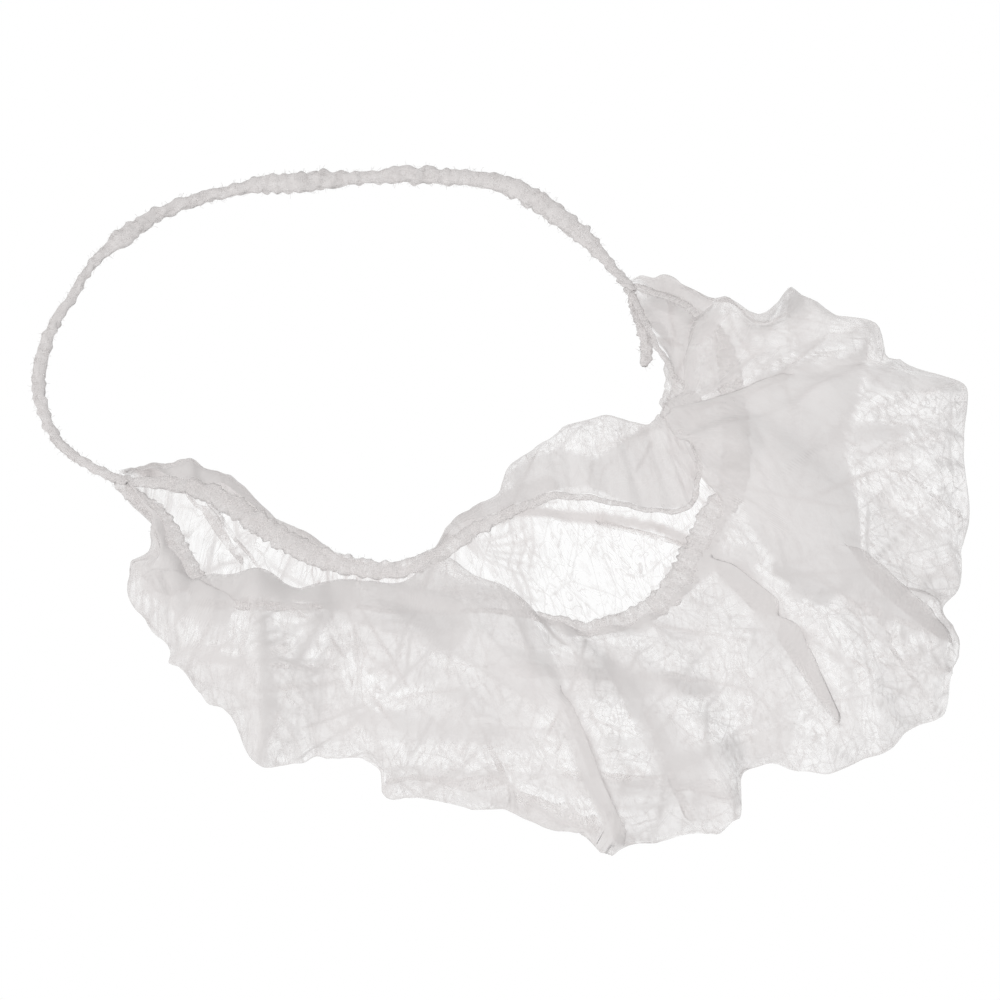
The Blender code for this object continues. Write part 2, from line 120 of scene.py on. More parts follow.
FRONT_FOLD = (
    (0.000, -0.402, 0.016, 0.17),
    (0.020, -0.379, -0.026, 0.15),
    (0.038, -0.370, -0.060, 0.13),
    (0.055, -0.387, -0.095, 0.10),
    (0.075, -0.392, -0.148, 0.08),
    (0.092, -0.348, -0.190, 0.12),
    (0.105, -0.354, -0.218, 0.12),
    (0.140, -0.308, -0.289, 0.07),
    (0.180, -0.246, -0.382, 0.06),
    (0.220, -0.177, -0.366, 0.07),
    (0.245, -0.130, -0.384, 0.06),
    (0.262, -0.112, -0.427, 0.06),
    (0.330, 0.014, -0.422, 0.07),
    (0.390, 0.123, -0.482, 0.06),
    (0.455, 0.254, -0.456, 0.06),
    (0.490, 0.268, -0.368, 0.08),
    (0.535, 0.354, -0.370, 0.07),
    (0.580, 0.429, -0.326, 0.09),
    (0.610, 0.480, -0.302, 0.13),
    (0.640, 0.500, -0.219, 0.16),
    (0.665, 0.475, -0.163, 0.16),
    (0.695, 0.497, -0.092, 0.19),
    (0.785, 0.498, 0.099, 0.47),
    (0.820, 0.430, 0.108, 0.56),
    (0.845, 0.405, 0.120, 0.83),
    (0.870, 0.354, 0.125, 0.91),
    (0.895, 0.314, 0.136, 1.05),
    (0.915, 0.282, 0.119, 1.00),
    (0.945, 0.250, 0.165, 0.72),
    (0.960, 0.206, 0.240, 0.54),
    (0.980, 0.174, 0.284, 0.38),
    (1.000, 0.142, 0.291, 0.23),
)
FRONT_RIM = (
    (0.000, -0.402, 0.016, 0.17),
    (0.040, -0.368, -0.035, 0.22),
    (0.080, -0.345, -0.099, 0.27),
    (0.120, -0.318, -0.158, 0.30),
    (0.180, -0.251, -0.187, 0.30),
    (0.235, -0.166, -0.187, 0.29),
    (0.280, -0.103, -0.197, 0.29),
    (0.330, -0.028, -0.199, 0.30),
    (0.370, 0.036, -0.204, 0.32),
    (0.410, 0.080, -0.230, 0.33),
    (0.460, 0.131, -0.228, 0.35),
    (0.530, 0.186, -0.194, 0.38),
    (0.590, 0.218, -0.131, 0.42),
    (0.640, 0.235, -0.090, 0.50),
    (0.700, 0.246, -0.046, 0.60),
    (0.800, 0.244, 0.037, 0.64),
    (0.880, 0.238, 0.115, 0.61),
    (0.920, 0.226, 0.176, 0.54),
    (0.960, 0.192, 0.243, 0.40),
    (1.000, 0.142, 0.291, 0.23),
)
# How far the fabric meets the table beyond the front fold, where the fold stands up. Columns: t, then x
# and y as shares of the spread width and the spread depth, and a height that the table takes away.
FOLD_FOOT = (
    (0.000, 0.000, 0.000, 0.00),
    (0.660, 0.000, 0.000, 0.00),
    (0.720, 0.000, 0.030, 0.00),
    (0.785, 0.000, 0.075, 0.00),
    (0.845, 0.000, 0.115, 0.00),
    (0.895, 0.000, 0.114, 0.00),
    (0.915, -0.012, 0.139, 0.00),
    (0.945, -0.018, 0.108, 0.00),
    (0.960, 0.000, 0.036, 0.00),
    (0.980, 0.000, 0.000, 0.00),
    (1.000, 0.000, 0.000, 0.00),
)
# Where the hem turns over past the front rim. Columns: t, overhang past the rim and crown above the
# straight line from fold to rim, both as shares of the pouch height.
HEM_AND_CROWN = (
    (0.00, 0.00, 0.02),
    (0.06, 0.02, 0.08),
    (0.12, 0.08, 0.16),
    (0.16, 0.20, 0.20),
    (0.19, 0.23, 0.20),
    (0.21, 0.12, 0.22),
    (0.23, 0.16, 0.22),
    (0.26, 0.21, 0.22),
    (0.28, 0.20, 0.23),
    (0.30, 0.30, 0.24),
    (0.325, 0.34, 0.24),
    (0.35, 0.23, 0.24),
    (0.37, 0.12, 0.23),
    (0.39, 0.02, 0.22),
    (0.50, 0.00, 0.20),
    (0.62, 0.04, 0.18),
    (0.70, 0.26, 0.18),
    (0.80, 0.40, 0.12),
    (0.88, 0.24, 0.08),
    (0.95, 0.04, 0.04),
    (1.00, 0.00, 0.00),
)
# Main folds over the hollow. Columns: t and s at one end, t and s at the other, and height as a share
# of the pouch height. s runs from 0 at the back rim to 1 at the front rim.
FOLDS = (
    (0.60, 0.96, 0.545, 0.62, 0.13),
    (0.40, 0.94, 0.390, 0.60, 0.12),
    (0.50, 0.94, 0.470, 0.62, -0.10),
    (0.18, 0.92, 0.180, 0.60, 0.10),
    (0.24, 0.90, 0.220, 0.66, -0.08),
    (0.30, 0.76, 0.560, 0.80, 0.10),
    (0.26, 0.66, 0.460, 0.70, -0.08),
    (0.66, 0.66, 0.780, 0.80, -0.11),
    (0.70, 0.92, 0.800, 0.64, 0.10),
    (0.10, 0.82, 0.240, 0.78, -0.07),
    (0.84, 0.92, 0.880, 0.62, -0.10),
    (0.90, 0.92, 0.920, 0.60, 0.10),
    (0.46, 0.06, 0.560, 0.14, 0.08),
)

# Where the CAD model's strap comes to the left joint and to the right joint: x, y and z as shares of the
# spread width, the spread depth and the pouch height.
STRAP_AT_JOINTS = (
    (-0.432, 0.044, 0.13),
    (0.110, 0.375, 0.10),
)

# How rounded the two folds run, and over which share of the sheet each end comes together
BACK_FOLD_EASE, FRONT_FOLD_EASE = 0.6, 0.35
END_SHARE = 0.08
# Points of one section: how far the cloth bulges between back rim and back fold as a share of the rim's
# height, places on the table between the back fold and the foot of the front fold, and the cloth's
# height at the last of them as a share of the fold's
BACK_BULGE = 0.10
FLOOR_STARTS, FLOOR_MIDDLE, FLOOR_ENDS = 0.06, 0.45, 0.05
FLOOR_END_RISE = 0.04
# Where the front fold stands up, a point between its foot and its top, and its height as a share
FOOT_SHARE, FOLD_SHARE, FOOT_RISE = 0.8, 0.2, 0.3
# Points over the top: share of the way from the front rim to the fold, and share of the crown
TOP_POINTS = ((0.78, 0.75), (0.40, 1.0))
# Points round a turned hem: share of the overhang, and height above the rim in rim thicknesses. It is
# turned from this overhang on, in rim thicknesses, and a plain edge has one point over the top instead.
HEM_POINTS = ((0.5, 1.4), (1.0, 0.2), (0.6, -1.2))
HEM_TURNS_FROM = 2
PLAIN_EDGE_POINT = (0.15, 0.5)
# The waves at the rims: how deep they are at most for their pitch, and how unevenly they swell
GATHER_SLOPE = 0.3
GATHER_UNEVENNESS, GATHER_BEAT, GATHER_START = 0.35, 17.0, 1.0
# Lengths of the whole sheet that the main folds are laid out on, and the part of a half wave that each
# fold rises by from end to end
SHEET_ALONG, SHEET_ACROSS = 1.9 * SPREAD_WIDTH, 0.9 * SPREAD_DEPTH
FOLD_START, FOLD_RUN = 0.12, 0.76
# Main folds are full where the sheet runs this many spread widths from end to end, and waves and folds
# have this share of their height at the rims
FOLD_PACE, RIM_RISE = 1.2, 0.3
# How far each round of smoothing draws a point to the middle of its neighbours, and how far back again
RELAX_PULL, RELAX_PUSH = 0.50, 0.26
RIM_ROUNDS = 6
# Points for each given one, where a curve is measured and where the cloth is kept off it
CURVE_SAMPLES, LINE_SAMPLES = 24, 8


def hermite(knots, values, at, ease=1.0, even=False):
    """Values on the smooth curve through the knots.

    A low ease keeps the corners crisp, and an even curve never swings past its knots.
    """
    slopes = ease * np.gradient(values, knots, axis=0)
    if even:
        steps = np.diff(values, axis=0) / np.diff(knots)[:, None]
        before, after = np.vstack([steps[:1], steps]), np.vstack([steps, steps[-1:]])
        most = 3 * np.minimum(np.abs(before), np.abs(after)) * (before * after > 0)
        slopes = np.clip(slopes, -most, most)
    at = np.clip(at, knots[0], knots[-1])
    k = np.clip(np.searchsorted(knots, at, side="right") - 1, 0, len(knots) - 2)
    span = (knots[k + 1] - knots[k])[:, None]
    u = (at - knots[k])[:, None] / span
    return (
        (2 * u**3 - 3 * u**2 + 1) * values[k]
        + (u**3 - 2 * u**2 + u) * span * slopes[k]
        + (3 * u**2 - 2 * u**3) * values[k + 1]
        + (u**3 - u**2) * span * slopes[k + 1]
    )


def guide(rows, t, ease=1.0):
    """Points of a guide curve at each t, in metres."""
    table = np.array(rows)
    return hermite(table[:, 0], table[:, 1:4] * SPREAD, np.asarray(t, float), ease)


def column(rows, t, index):
    """One column of a table at each t."""
    table = np.array(rows)
    return hermite(table[:, 0], table[:, index : index + 1], t)[:, 0]


def along(points, shares, even=False):
    """Points at shares of the length of the smooth curve through the given ones."""
    chord = np.r_[0.0, np.cumsum(np.linalg.norm(np.diff(points, axis=0), axis=1))]
    samples = np.linspace(0.0, chord[-1], CURVE_SAMPLES * len(points))
    dense = hermite(chord, points, samples, even=even)
    run = np.r_[0.0, np.cumsum(np.linalg.norm(np.diff(dense, axis=0), axis=1))]
    at = run[-1] * np.asarray(shares)
    return np.stack([np.interp(at, run, dense[:, axis]) for axis in range(3)], axis=1)


def level(point, height):
    """The point moved to the given height."""
    return np.array([point[0], point[1], height])


def raised(height):
    """A step straight up."""
    return np.array([0.0, 0.0, height])


def section(back, behind, foot, fold, front, hem, crown, lift, spacing):
    """One section of the pouch, from the back rim under the hollow to the front rim."""
    out = level(foot - behind, 0.0)
    top = fold - front
    top_out = level(top, 0.0) / max(np.linalg.norm(top[:2]), 1e-6)
    path = [back, 0.5 * (back + behind) + raised(BACK_BULGE * back[2]), behind]
    path.append(level(behind + FLOOR_STARTS * out, lift))
    path.append(level(behind + FLOOR_MIDDLE * out, lift))
    path.append(level(foot - FLOOR_ENDS * out, max(lift, FLOOR_END_RISE * fold[2])))
    if np.linalg.norm(foot - level(fold, 0.0)) > fold[2] / 2:
        path.append(level(FOOT_SHARE * foot + FOLD_SHARE * fold, FOOT_RISE * fold[2]))
    path.append(fold)
    path += [front + share * top + raised(rise * crown) for share, rise in TOP_POINTS]
    if hem > HEM_TURNS_FROM * RIM_THICKNESS:
        path += [front - share * hem * top_out + raised(rise * RIM_THICKNESS) for share, rise in HEM_POINTS]
    else:
        share, rise = PLAIN_EDGE_POINT
        path.append(front + share * top + raised(rise * crown))
    path.append(front)
    return along(np.array(path), spacing, even=True)


def normals(grid):
    """Unit normals of a grid of points."""
    cross = np.cross(np.gradient(grid, axis=0), np.gradient(grid, axis=1))
    return cross / np.maximum(np.linalg.norm(cross, axis=2, keepdims=True), 1e-9)


def gathers(t, distance, pace):
    """Height of the gathers at a distance from a rim, no deeper than their pitch leaves room for."""
    depth = np.minimum(GATHER_DEPTH, GATHER_SLOPE * pace / RIM_GATHERS)
    swell = 1.0 + GATHER_UNEVENNESS * np.sin(GATHER_BEAT * t + GATHER_START)
    return depth * (np.sin(math.tau * RIM_GATHERS * t) * swell) * np.exp(-distance / GATHER_REACH)


def beside(points, start, run):
    """How far along a line each point lies, as a share of it, and the distance to the line."""
    share = np.clip((points - start) @ run / (run @ run), 0.0, 1.0)
    return share, np.linalg.norm(points - start - share[..., None] * run, axis=-1)


def fold_heights(t, s):
    """Ridges and dents of the main folds, at each place on the sheet."""
    total = np.zeros_like(t)
    for t0, s0, t1, s1, height in FOLDS:
        run = np.array([(t1 - t0) * SHEET_ALONG, (s1 - s0) * SHEET_ACROSS])
        place = np.stack([(t - t0) * SHEET_ALONG, (s - s0) * SHEET_ACROSS], axis=-1)
        share, away = beside(place, 0.0, run)
        ends = np.sin(math.pi * (FOLD_START + FOLD_RUN * share))
        total += height * POUCH_HEIGHT * ends * np.clip(1.0 - away / FOLD_HALF_WIDTH, 0.0, 1.0)
    return total


def relaxed(grid, ends):
    """The sheet after its stiffness has drawn tight kinks out, with both rims held.

    It keeps its size where ends is 1, and draws together a little where ends falls to 0.
    """
    grid = grid.copy()
    push = -RELAX_PUSH - RELAX_PUSH * ends[1:-1, None, None]
    for _ in range(RELAX_ROUNDS):
        for pull in (RELAX_PULL, push):
            middle = 0.25 * (grid[:-2, 1:-1] + grid[2:, 1:-1] + grid[1:-1, :-2] + grid[1:-1, 2:])
            grid[1:-1, 1:-1] += pull * (middle - grid[1:-1, 1:-1])
    return grid


def pushed(points, line, reach):
    """Points moved straight away from a line where they lie within reach of it."""
    dense = along(line, np.linspace(0.0, 1.0, LINE_SAMPLES * len(line)))
    gaps = np.linalg.norm(points[..., None, :] - dense, axis=-1)
    nearest = dense[np.argmin(gaps, axis=-1)]
    gap = np.min(gaps, axis=-1)[..., None]
    return points + np.clip(reach - gap, 0.0, None) * (points - nearest) / np.maximum(gap, 1e-6)


def rim_line(grid, edge, side):
    """Middle of the elastic edge beside one rim, from the left joint to the right joint."""
    rim, above = grid[:, edge], normals(grid)[:, edge]
    away = -side * np.cross(np.gradient(rim, axis=0), above)
    away /= np.linalg.norm(away, axis=1, keepdims=True)
    seam = rim - WALL / 2 * above
    reach = RIM_THICKNESS / 2 + 1.5 * CLEARANCE
    middle = seam + reach * away
    for _ in range(RIM_ROUNDS):
        middle[1:-1] = 0.25 * (middle[:-2] + 2 * middle[1:-1] + middle[2:])
        middle = pushed(middle, seam, reach)
    ends = []
    for place, into in (joint(0), joint(1)):
        way = into if not ends else -into
        aside = np.cross(way, (0.0, 0.0, 1.0))
        beside = side * (RIM_THICKNESS + CLEARANCE) / 2 * aside / np.linalg.norm(aside)
        ends.append(place + beside + CLEARANCE * into)
    near = [0.5 * (ends[0] + middle[0]), 0.5 * (ends[1] + middle[-1])]
    return np.vstack([ends[0], near[0], middle, near[1], ends[1]])


def clear_of_rims(grid):
    """The sheet moved off both elastic edges, but for the two rows that are sewn to them."""
    grid = grid.copy()
    reach = RIM_THICKNESS / 2 + WALL + 2 * CLEARANCE
    last = grid.shape[1] - 1
    for edge, side, rows in ((0, -1.0, slice(1, None)), (last, 1.0, slice(0, last))):
        grid[:, rows] = pushed(grid[:, rows], rim_line(grid, edge, side), reach)
    return grid


def pouch_grid():
    """Outer skin of the pouch: a row for each station, from back rim to front rim."""
    stations = np.linspace(FIRST_STATION, LAST_STATION, POUCH_STATIONS)
    spacing = np.linspace(0.0, 1.0, POUCH_ACROSS)
    back, front = guide(BACK_RIM, stations), guide(FRONT_RIM, stations)
    behind = guide(BACK_FOLD, stations, ease=BACK_FOLD_EASE)
    fold = guide(FRONT_FOLD, stations, ease=FRONT_FOLD_EASE)
    foot = fold + guide(FOLD_FOOT, stations)
    foot[:, 2] = 0.0
    hem = column(HEM_AND_CROWN, stations, 1) * POUCH_HEIGHT
    crown = column(HEM_AND_CROWN, stations, 2) * POUCH_HEIGHT
    ends = np.clip(np.minimum(stations, 1.0 - stations) / END_SHARE, 0.0, 1.0)
    lift = 0.5 * (1.0 - ends) * np.minimum(behind[:, 2], fold[:, 2])
    rows = zip(back, behind, foot, fold, front, hem, crown, lift)
    grid = np.array([section(*row, spacing) for row in rows])
    steps = np.linalg.norm(np.diff(grid, axis=1), axis=2)
    run = np.concatenate([np.zeros((len(grid), 1)), np.cumsum(steps, axis=1)], axis=1)
    t, s = np.meshgrid(stations, spacing, indexing="ij")
    pace = np.linalg.norm(np.gradient(grid, stations, axis=0), axis=2)
    waves = gathers(t, run, pace) + gathers(t, run[:, -1:] - run, pace)
    room = np.clip(pace / (FOLD_PACE * SPREAD_WIDTH), 0.0, 1.0)
    from_rim = np.minimum(run, run[:, -1:] - run) / GATHER_REACH
    rise = ends[:, None] * (waves + room * fold_heights(t, s)) * np.clip(RIM_RISE + from_rim, 0.0, 1.0)
    grid = relaxed(grid + rise[..., None] * normals(grid), ends)
    grid = clear_of_rims(grid)
    grid[..., 2] = np.where(grid[..., 2] < CLEARANCE, 0.0, grid[..., 2])
    return grid


def joint(end):
    """Where the strap meets the rims, 0 left or 1 right, and the way from strap to pouch there."""
    place = guide(BACK_RIM, [end])[0]
    last = np.array(STRAP_AT_JOINTS[end]) * SPREAD
    return place, (place - last) / np.linalg.norm(place - last)


# Places below are read off the photograph, across and down in thousandths of its side. One such step
# is PIXEL metres on the model, since the cover is SPREAD_SHOWN of them across. MIDDLE is the place of
# the model's own origin, and VIEW_RISE is the angle of the view above the table.
SPREAD_SHOWN = 941.0
PIXEL = SPREAD_WIDTH / SPREAD_SHOWN
MIDDLE = (496.5, 511.0)
VIEW_RISE = math.radians(50.0)
# Parts of the sheet: where its outside faces the viewer, where its inside does, and both
TOP, BOTTOM, BOTH = 1.0, -1.0, 0.0

# Pleats, where the sheet is folded over itself in three layers. Columns: the place of one end and of
# the other, the breadth of the fold at each, and the part of the sheet that is folded. They are folded
# one after another, so their order counts.
PLEATS = (
    # left end
    (270, 666, 345, 671, 8, 7, BOTTOM),
    (140, 575, 236, 598, 22, 18, TOP),
    (185, 495, 243, 568, 6, 5, BOTTOM),
    (206, 508, 268, 578, 5, 5, BOTTOM),
    (385, 790, 500, 780, 8, 13, BOTTOM),
    # middle
    (560, 686, 622, 848, 10, 19, TOP),
    (505, 792, 606, 832, 14, 18, BOTTOM),
    (560, 772, 735, 790, 12, 20, BOTTOM),
    (706, 552, 782, 622, 14, 26, TOP),
    (776, 616, 834, 720, 24, 8, TOP),
    (505, 668, 705, 680, 18, 9, BOTTOM),
    (596, 522, 702, 552, 9, 7, BOTTOM),
    # right end
    (666, 414, 790, 374, 8, 6, TOP),
    (846, 546, 948, 640, 30, 8, TOP),
    (470, 702, 520, 812, 5, 8, BOTTOM),
    (640, 700, 690, 832, 6, 10, BOTTOM),
    (905, 470, 965, 520, 5, 8, BOTTOM),
    (880, 640, 930, 706, 5, 8, BOTTOM),
    (856, 606, 952, 640, 14, 10, BOTTOM),
)
# Where the cloth is bunched into a dense band, or creased with a line of painted shade, or less than 0 for
# painted highlight lines along fold edges.
# Columns: the place of one end and of the other, the breadth at each, how much denser it is, the part.
BUNCHED = (
    # left end
    (112, 476, 150, 470, 14, 26, 0.80, BOTH),
    (146, 472, 205, 472, 28, 34, 0.80, BOTH),
    (200, 474, 255, 508, 36, 34, 0.78, BOTH),
    (250, 506, 312, 548, 32, 24, 0.70, BOTH),
    (306, 544, 352, 562, 24, 18, 0.70, BOTH),
    (346, 562, 412, 566, 16, 16, 0.80, BOTH),
    (140, 482, 200, 492, 10, 14, 0.61, BOTTOM),
    (195, 492, 260, 530, 14, 12, 0.61, BOTTOM),
    (255, 528, 330, 572, 12, 10, 0.61, BOTTOM),
    (116, 482, 150, 518, 12, 16, 0.80, BOTH),
    (148, 514, 166, 548, 17, 20, 0.78, BOTH),
    (162, 542, 184, 578, 20, 24, 0.78, BOTH),
    (205, 586, 286, 580, 26, 32, 0.80, TOP),
    (284, 582, 346, 596, 30, 32, 0.74, TOP),
    (336, 594, 440, 620, 36, 62, 0.65, TOP),
    (380, 660, 520, 700, 12, 50, 0.34, TOP),
    (268, 606, 266, 768, 6, 13, 0.47, TOP),
    (332, 610, 297, 664, 12, 8, 0.61, TOP),
    (160, 642, 246, 662, 18, 9, 0.61, TOP),
    (246, 656, 322, 616, 6, 8, 0.54, TOP),
    (322, 616, 372, 622, 8, 5, 0.41, TOP),
    (355, 713, 522, 736, 14, 24, 0.43, TOP),
    (352, 720, 470, 690, 6, 14, 0.34, TOP),
    (240, 668, 340, 668, 5, 7, 0.41, TOP),
    (360, 690, 400, 712, 5, 5, 0.41, TOP),
    (200, 657, 247, 657, 8, 10, 0.60, TOP),
    (247, 658, 345, 660, 7, 5, 0.60, TOP),
    (247, 660, 255, 640, 4, 4, 0.60, TOP),
    (255, 640, 280, 627, 4, 4, 0.60, TOP),
    (280, 627, 316, 622, 4, 4, 0.60, TOP),
    (262, 610, 274, 700, 12, 15, 0.55, TOP),
    (274, 700, 262, 762, 15, 8, 0.55, TOP),
    (320, 618, 297, 660, 12, 11, 0.60, TOP),
    (248, 664, 262, 687, 4, 4, 0.55, TOP),
    (262, 687, 335, 668, 4, 3, 0.50, TOP),
    (245, 665, 305, 735, 3, 4, 0.55, TOP),
    (262, 660, 318, 730, 3, 3, 0.50, BOTTOM),
    (295, 680, 370, 750, 3, 4, 0.60, TOP),
    (280, 672, 352, 745, 3, 3, 0.50, BOTTOM),
    (230, 670, 262, 730, 4, 3, 0.55, TOP),
    (208, 660, 238, 742, 3, 3, 0.50, BOTTOM),
    (335, 690, 375, 730, 4, 5, 0.60, TOP),
    (340, 645, 340, 685, 4, 4, 0.55, TOP),
    (340, 685, 375, 710, 4, 6, 0.60, TOP),
    (350, 672, 380, 702, 3, 3, 0.60, TOP),
    (375, 712, 390, 795, 4, 5, 0.55, TOP),
    (467, 708, 472, 750, 4, 3, 0.55, TOP),
    (475, 755, 512, 780, 3, 4, 0.60, TOP),
    (440, 765, 520, 815, 3, 4, 0.60, TOP),
    (390, 765, 540, 770, 4, 4, 0.60, TOP),
    (410, 780, 470, 800, 3, 3, 0.45, BOTTOM),
    (400, 770, 425, 797, 3, 3, 0.45, BOTTOM),
    # middle
    (424, 552, 470, 500, 20, 30, 0.68, TOP),
    (462, 548, 526, 528, 3, 3, 0.75, BOTH),
    (462, 549, 532, 542, 3, 4, 0.75, BOTH),
    (463, 550, 535, 556, 3, 3, 0.75, BOTH),
    (463, 551, 534, 568, 3, 4, 0.75, BOTH),
    (464, 552, 532, 582, 3, 3, 0.75, BOTH),
    (508, 520, 514, 545, 3, 3, 0.70, BOTH),
    (514, 545, 508, 566, 3, 3, 0.70, BOTH),
    (508, 566, 522, 590, 3, 4, 0.70, BOTH),
    (520, 518, 526, 546, 3, 4, 0.72, BOTH),
    (526, 546, 518, 568, 4, 4, 0.72, BOTH),
    (518, 568, 532, 598, 4, 4, 0.72, BOTH),
    (531, 522, 534, 550, 3, 3, 0.66, BOTH),
    (534, 550, 528, 576, 3, 3, 0.66, BOTH),
    (462, 540, 540, 502, 6, 12, 0.47, BOTH),
    (700, 452, 740, 480, 3, 3, 0.41, TOP),
    # Painted highlight lines along the fold edges, drawn as thinner cloth
    (805, 462, 736, 500, 3, 3, -0.25, TOP),
    (795, 420, 805, 462, 3, 3, -0.25, TOP),
    (670, 409, 868, 340, 3, 3, -0.30, TOP),
    (432, 556, 470, 520, 22, 30, 0.62, BOTH),
    (470, 520, 545, 490, 30, 28, 0.62, BOTH),
    (505, 512, 600, 519, 12, 13, 0.86, BOTTOM),
    (600, 519, 660, 530, 13, 12, 0.86, BOTTOM),
    (660, 530, 698, 548, 12, 14, 0.86, BOTTOM),
    (604, 470, 636, 440, 3, 3, 0.50, TOP),
    (560, 447, 590, 415, 3, 3, 0.60, TOP),
    (530, 606, 572, 624, 14, 20, 0.74, TOP),
    (570, 624, 640, 622, 20, 20, 0.68, TOP),
    (636, 620, 700, 566, 20, 24, 0.68, TOP),
    (700, 566, 722, 508, 22, 20, 0.68, TOP),
    (500, 655, 705, 682, 30, 20, 0.43, TOP),
    (565, 690, 600, 790, 12, 17, 0.57, TOP),
    (598, 786, 622, 848, 16, 18, 0.65, TOP),
    (610, 664, 688, 768, 16, 34, 0.46, TOP),
    (655, 760, 775, 736, 20, 26, 0.34, TOP),
    (560, 776, 735, 792, 12, 20, 0.38, TOP),
    (400, 765, 500, 796, 6, 12, 0.34, TOP),
    (500, 796, 608, 838, 14, 20, 0.38, TOP),
    (490, 722, 660, 742, 5, 14, 0.38, TOP),
    (698, 560, 742, 556, 14, 26, 0.54, TOP),
    (698, 545, 735, 575, 24, 30, 0.62, TOP),
    (732, 572, 790, 640, 30, 24, 0.65, TOP),
    (786, 634, 836, 716, 22, 8, 0.65, TOP),
    (770, 660, 700, 720, 12, 6, 0.27, TOP),
    (500, 676, 640, 680, 34, 28, 0.36, TOP),
    (640, 680, 712, 687, 26, 10, 0.45, TOP),
    (557, 690, 600, 800, 14, 18, 0.60, TOP),
    (607, 655, 675, 770, 16, 30, 0.50, TOP),
    (682, 610, 710, 655, 3, 4, 0.60, TOP),
    (650, 637, 700, 655, 3, 3, 0.60, TOP),
    (640, 650, 716, 700, 3, 3, 0.50, BOTTOM),
    (700, 752, 706, 700, 5, 4, 0.65, TOP),
    (706, 700, 742, 664, 4, 4, 0.65, TOP),
    (700, 750, 800, 690, 4, 4, 0.60, TOP),
    (665, 765, 820, 708, 4, 3, 0.60, TOP),
    (692, 755, 692, 820, 10, 8, 0.50, TOP),
    (605, 790, 700, 750, 12, 14, 0.36, TOP),
    (612, 800, 695, 800, 12, 14, 0.50, TOP),
    (500, 722, 575, 730, 4, 4, 0.60, TOP),
    (507, 730, 565, 775, 3, 3, 0.60, TOP),
    (520, 725, 545, 790, 3, 3, 0.55, TOP),
    (530, 735, 590, 800, 3, 3, 0.55, BOTTOM),
    (750, 582, 812, 622, 3, 3, 0.60, TOP),
    (745, 610, 800, 650, 3, 3, 0.50, TOP),
    (752, 640, 800, 690, 3, 3, 0.50, BOTTOM),
    (745, 690, 800, 640, 3, 3, 0.50, TOP),
    (575, 690, 628, 770, 3, 3, 0.50, BOTTOM),
    (545, 640, 590, 660, 3, 3, 0.60, TOP),
    # right end
    (846, 586, 948, 642, 28, 6, 0.59, TOP),
    (870, 376, 966, 386, 18, 14, 0.41, TOP),
    (838, 436, 905, 430, 26, 10, 0.54, TOP),
    (850, 462, 960, 412, 5, 5, 0.47, TOP),
    (792, 300, 800, 350, 14, 18, 0.41, TOP),
    (800, 350, 872, 330, 16, 10, 0.41, TOP),
    (864, 494, 960, 556, 8, 5, 0.47, TOP),
    (735, 562, 800, 602, 4, 4, 0.54, TOP),
    (800, 602, 834, 644, 4, 4, 0.54, TOP),
    (834, 644, 846, 700, 5, 5, 0.54, TOP),
    (846, 700, 860, 748, 5, 5, 0.54, TOP),
    (840, 716, 830, 752, 5, 4, 0.54, TOP),
    (934, 640, 948, 672, 8, 12, 0.41, TOP),
    (787, 296, 789, 350, 5, 5, 0.70, TOP),
    (958, 392, 957, 476, 4, 4, 0.60, TOP),
    (948, 500, 946, 600, 4, 4, 0.60, TOP),
    (848, 468, 962, 418, 3, 3, 0.65, TOP),
    (866, 392, 966, 388, 4, 4, 0.60, TOP),
    (872, 448, 950, 462, 3, 3, 0.50, BOTTOM),
    (905, 440, 930, 520, 3, 4, 0.55, TOP),
    (880, 470, 960, 560, 3, 3, 0.55, TOP),
    (868, 470, 900, 545, 3, 3, 0.50, BOTTOM),
    (880, 556, 958, 596, 3, 3, 0.50, TOP),
    (850, 600, 870, 700, 3, 3, 0.50, TOP),
    (872, 610, 905, 690, 3, 3, 0.45, BOTTOM),
    (858, 655, 940, 700, 3, 3, 0.45, TOP),
    (725, 510, 760, 560, 3, 4, 0.55, TOP),
    (745, 520, 800, 600, 3, 4, 0.50, TOP),
    (722, 528, 742, 540, 4, 3, 0.50, TOP),
    (700, 388, 790, 300, 4, 4, 0.55, TOP),
    (735, 380, 800, 345, 3, 3, 0.55, TOP),
    (760, 322, 770, 372, 3, 3, 0.50, TOP),
    (800, 300, 812, 350, 4, 4, 0.55, TOP),
    (830, 312, 850, 340, 4, 4, 0.55, TOP),
    (858, 318, 878, 340, 4, 4, 0.60, BOTH),
)
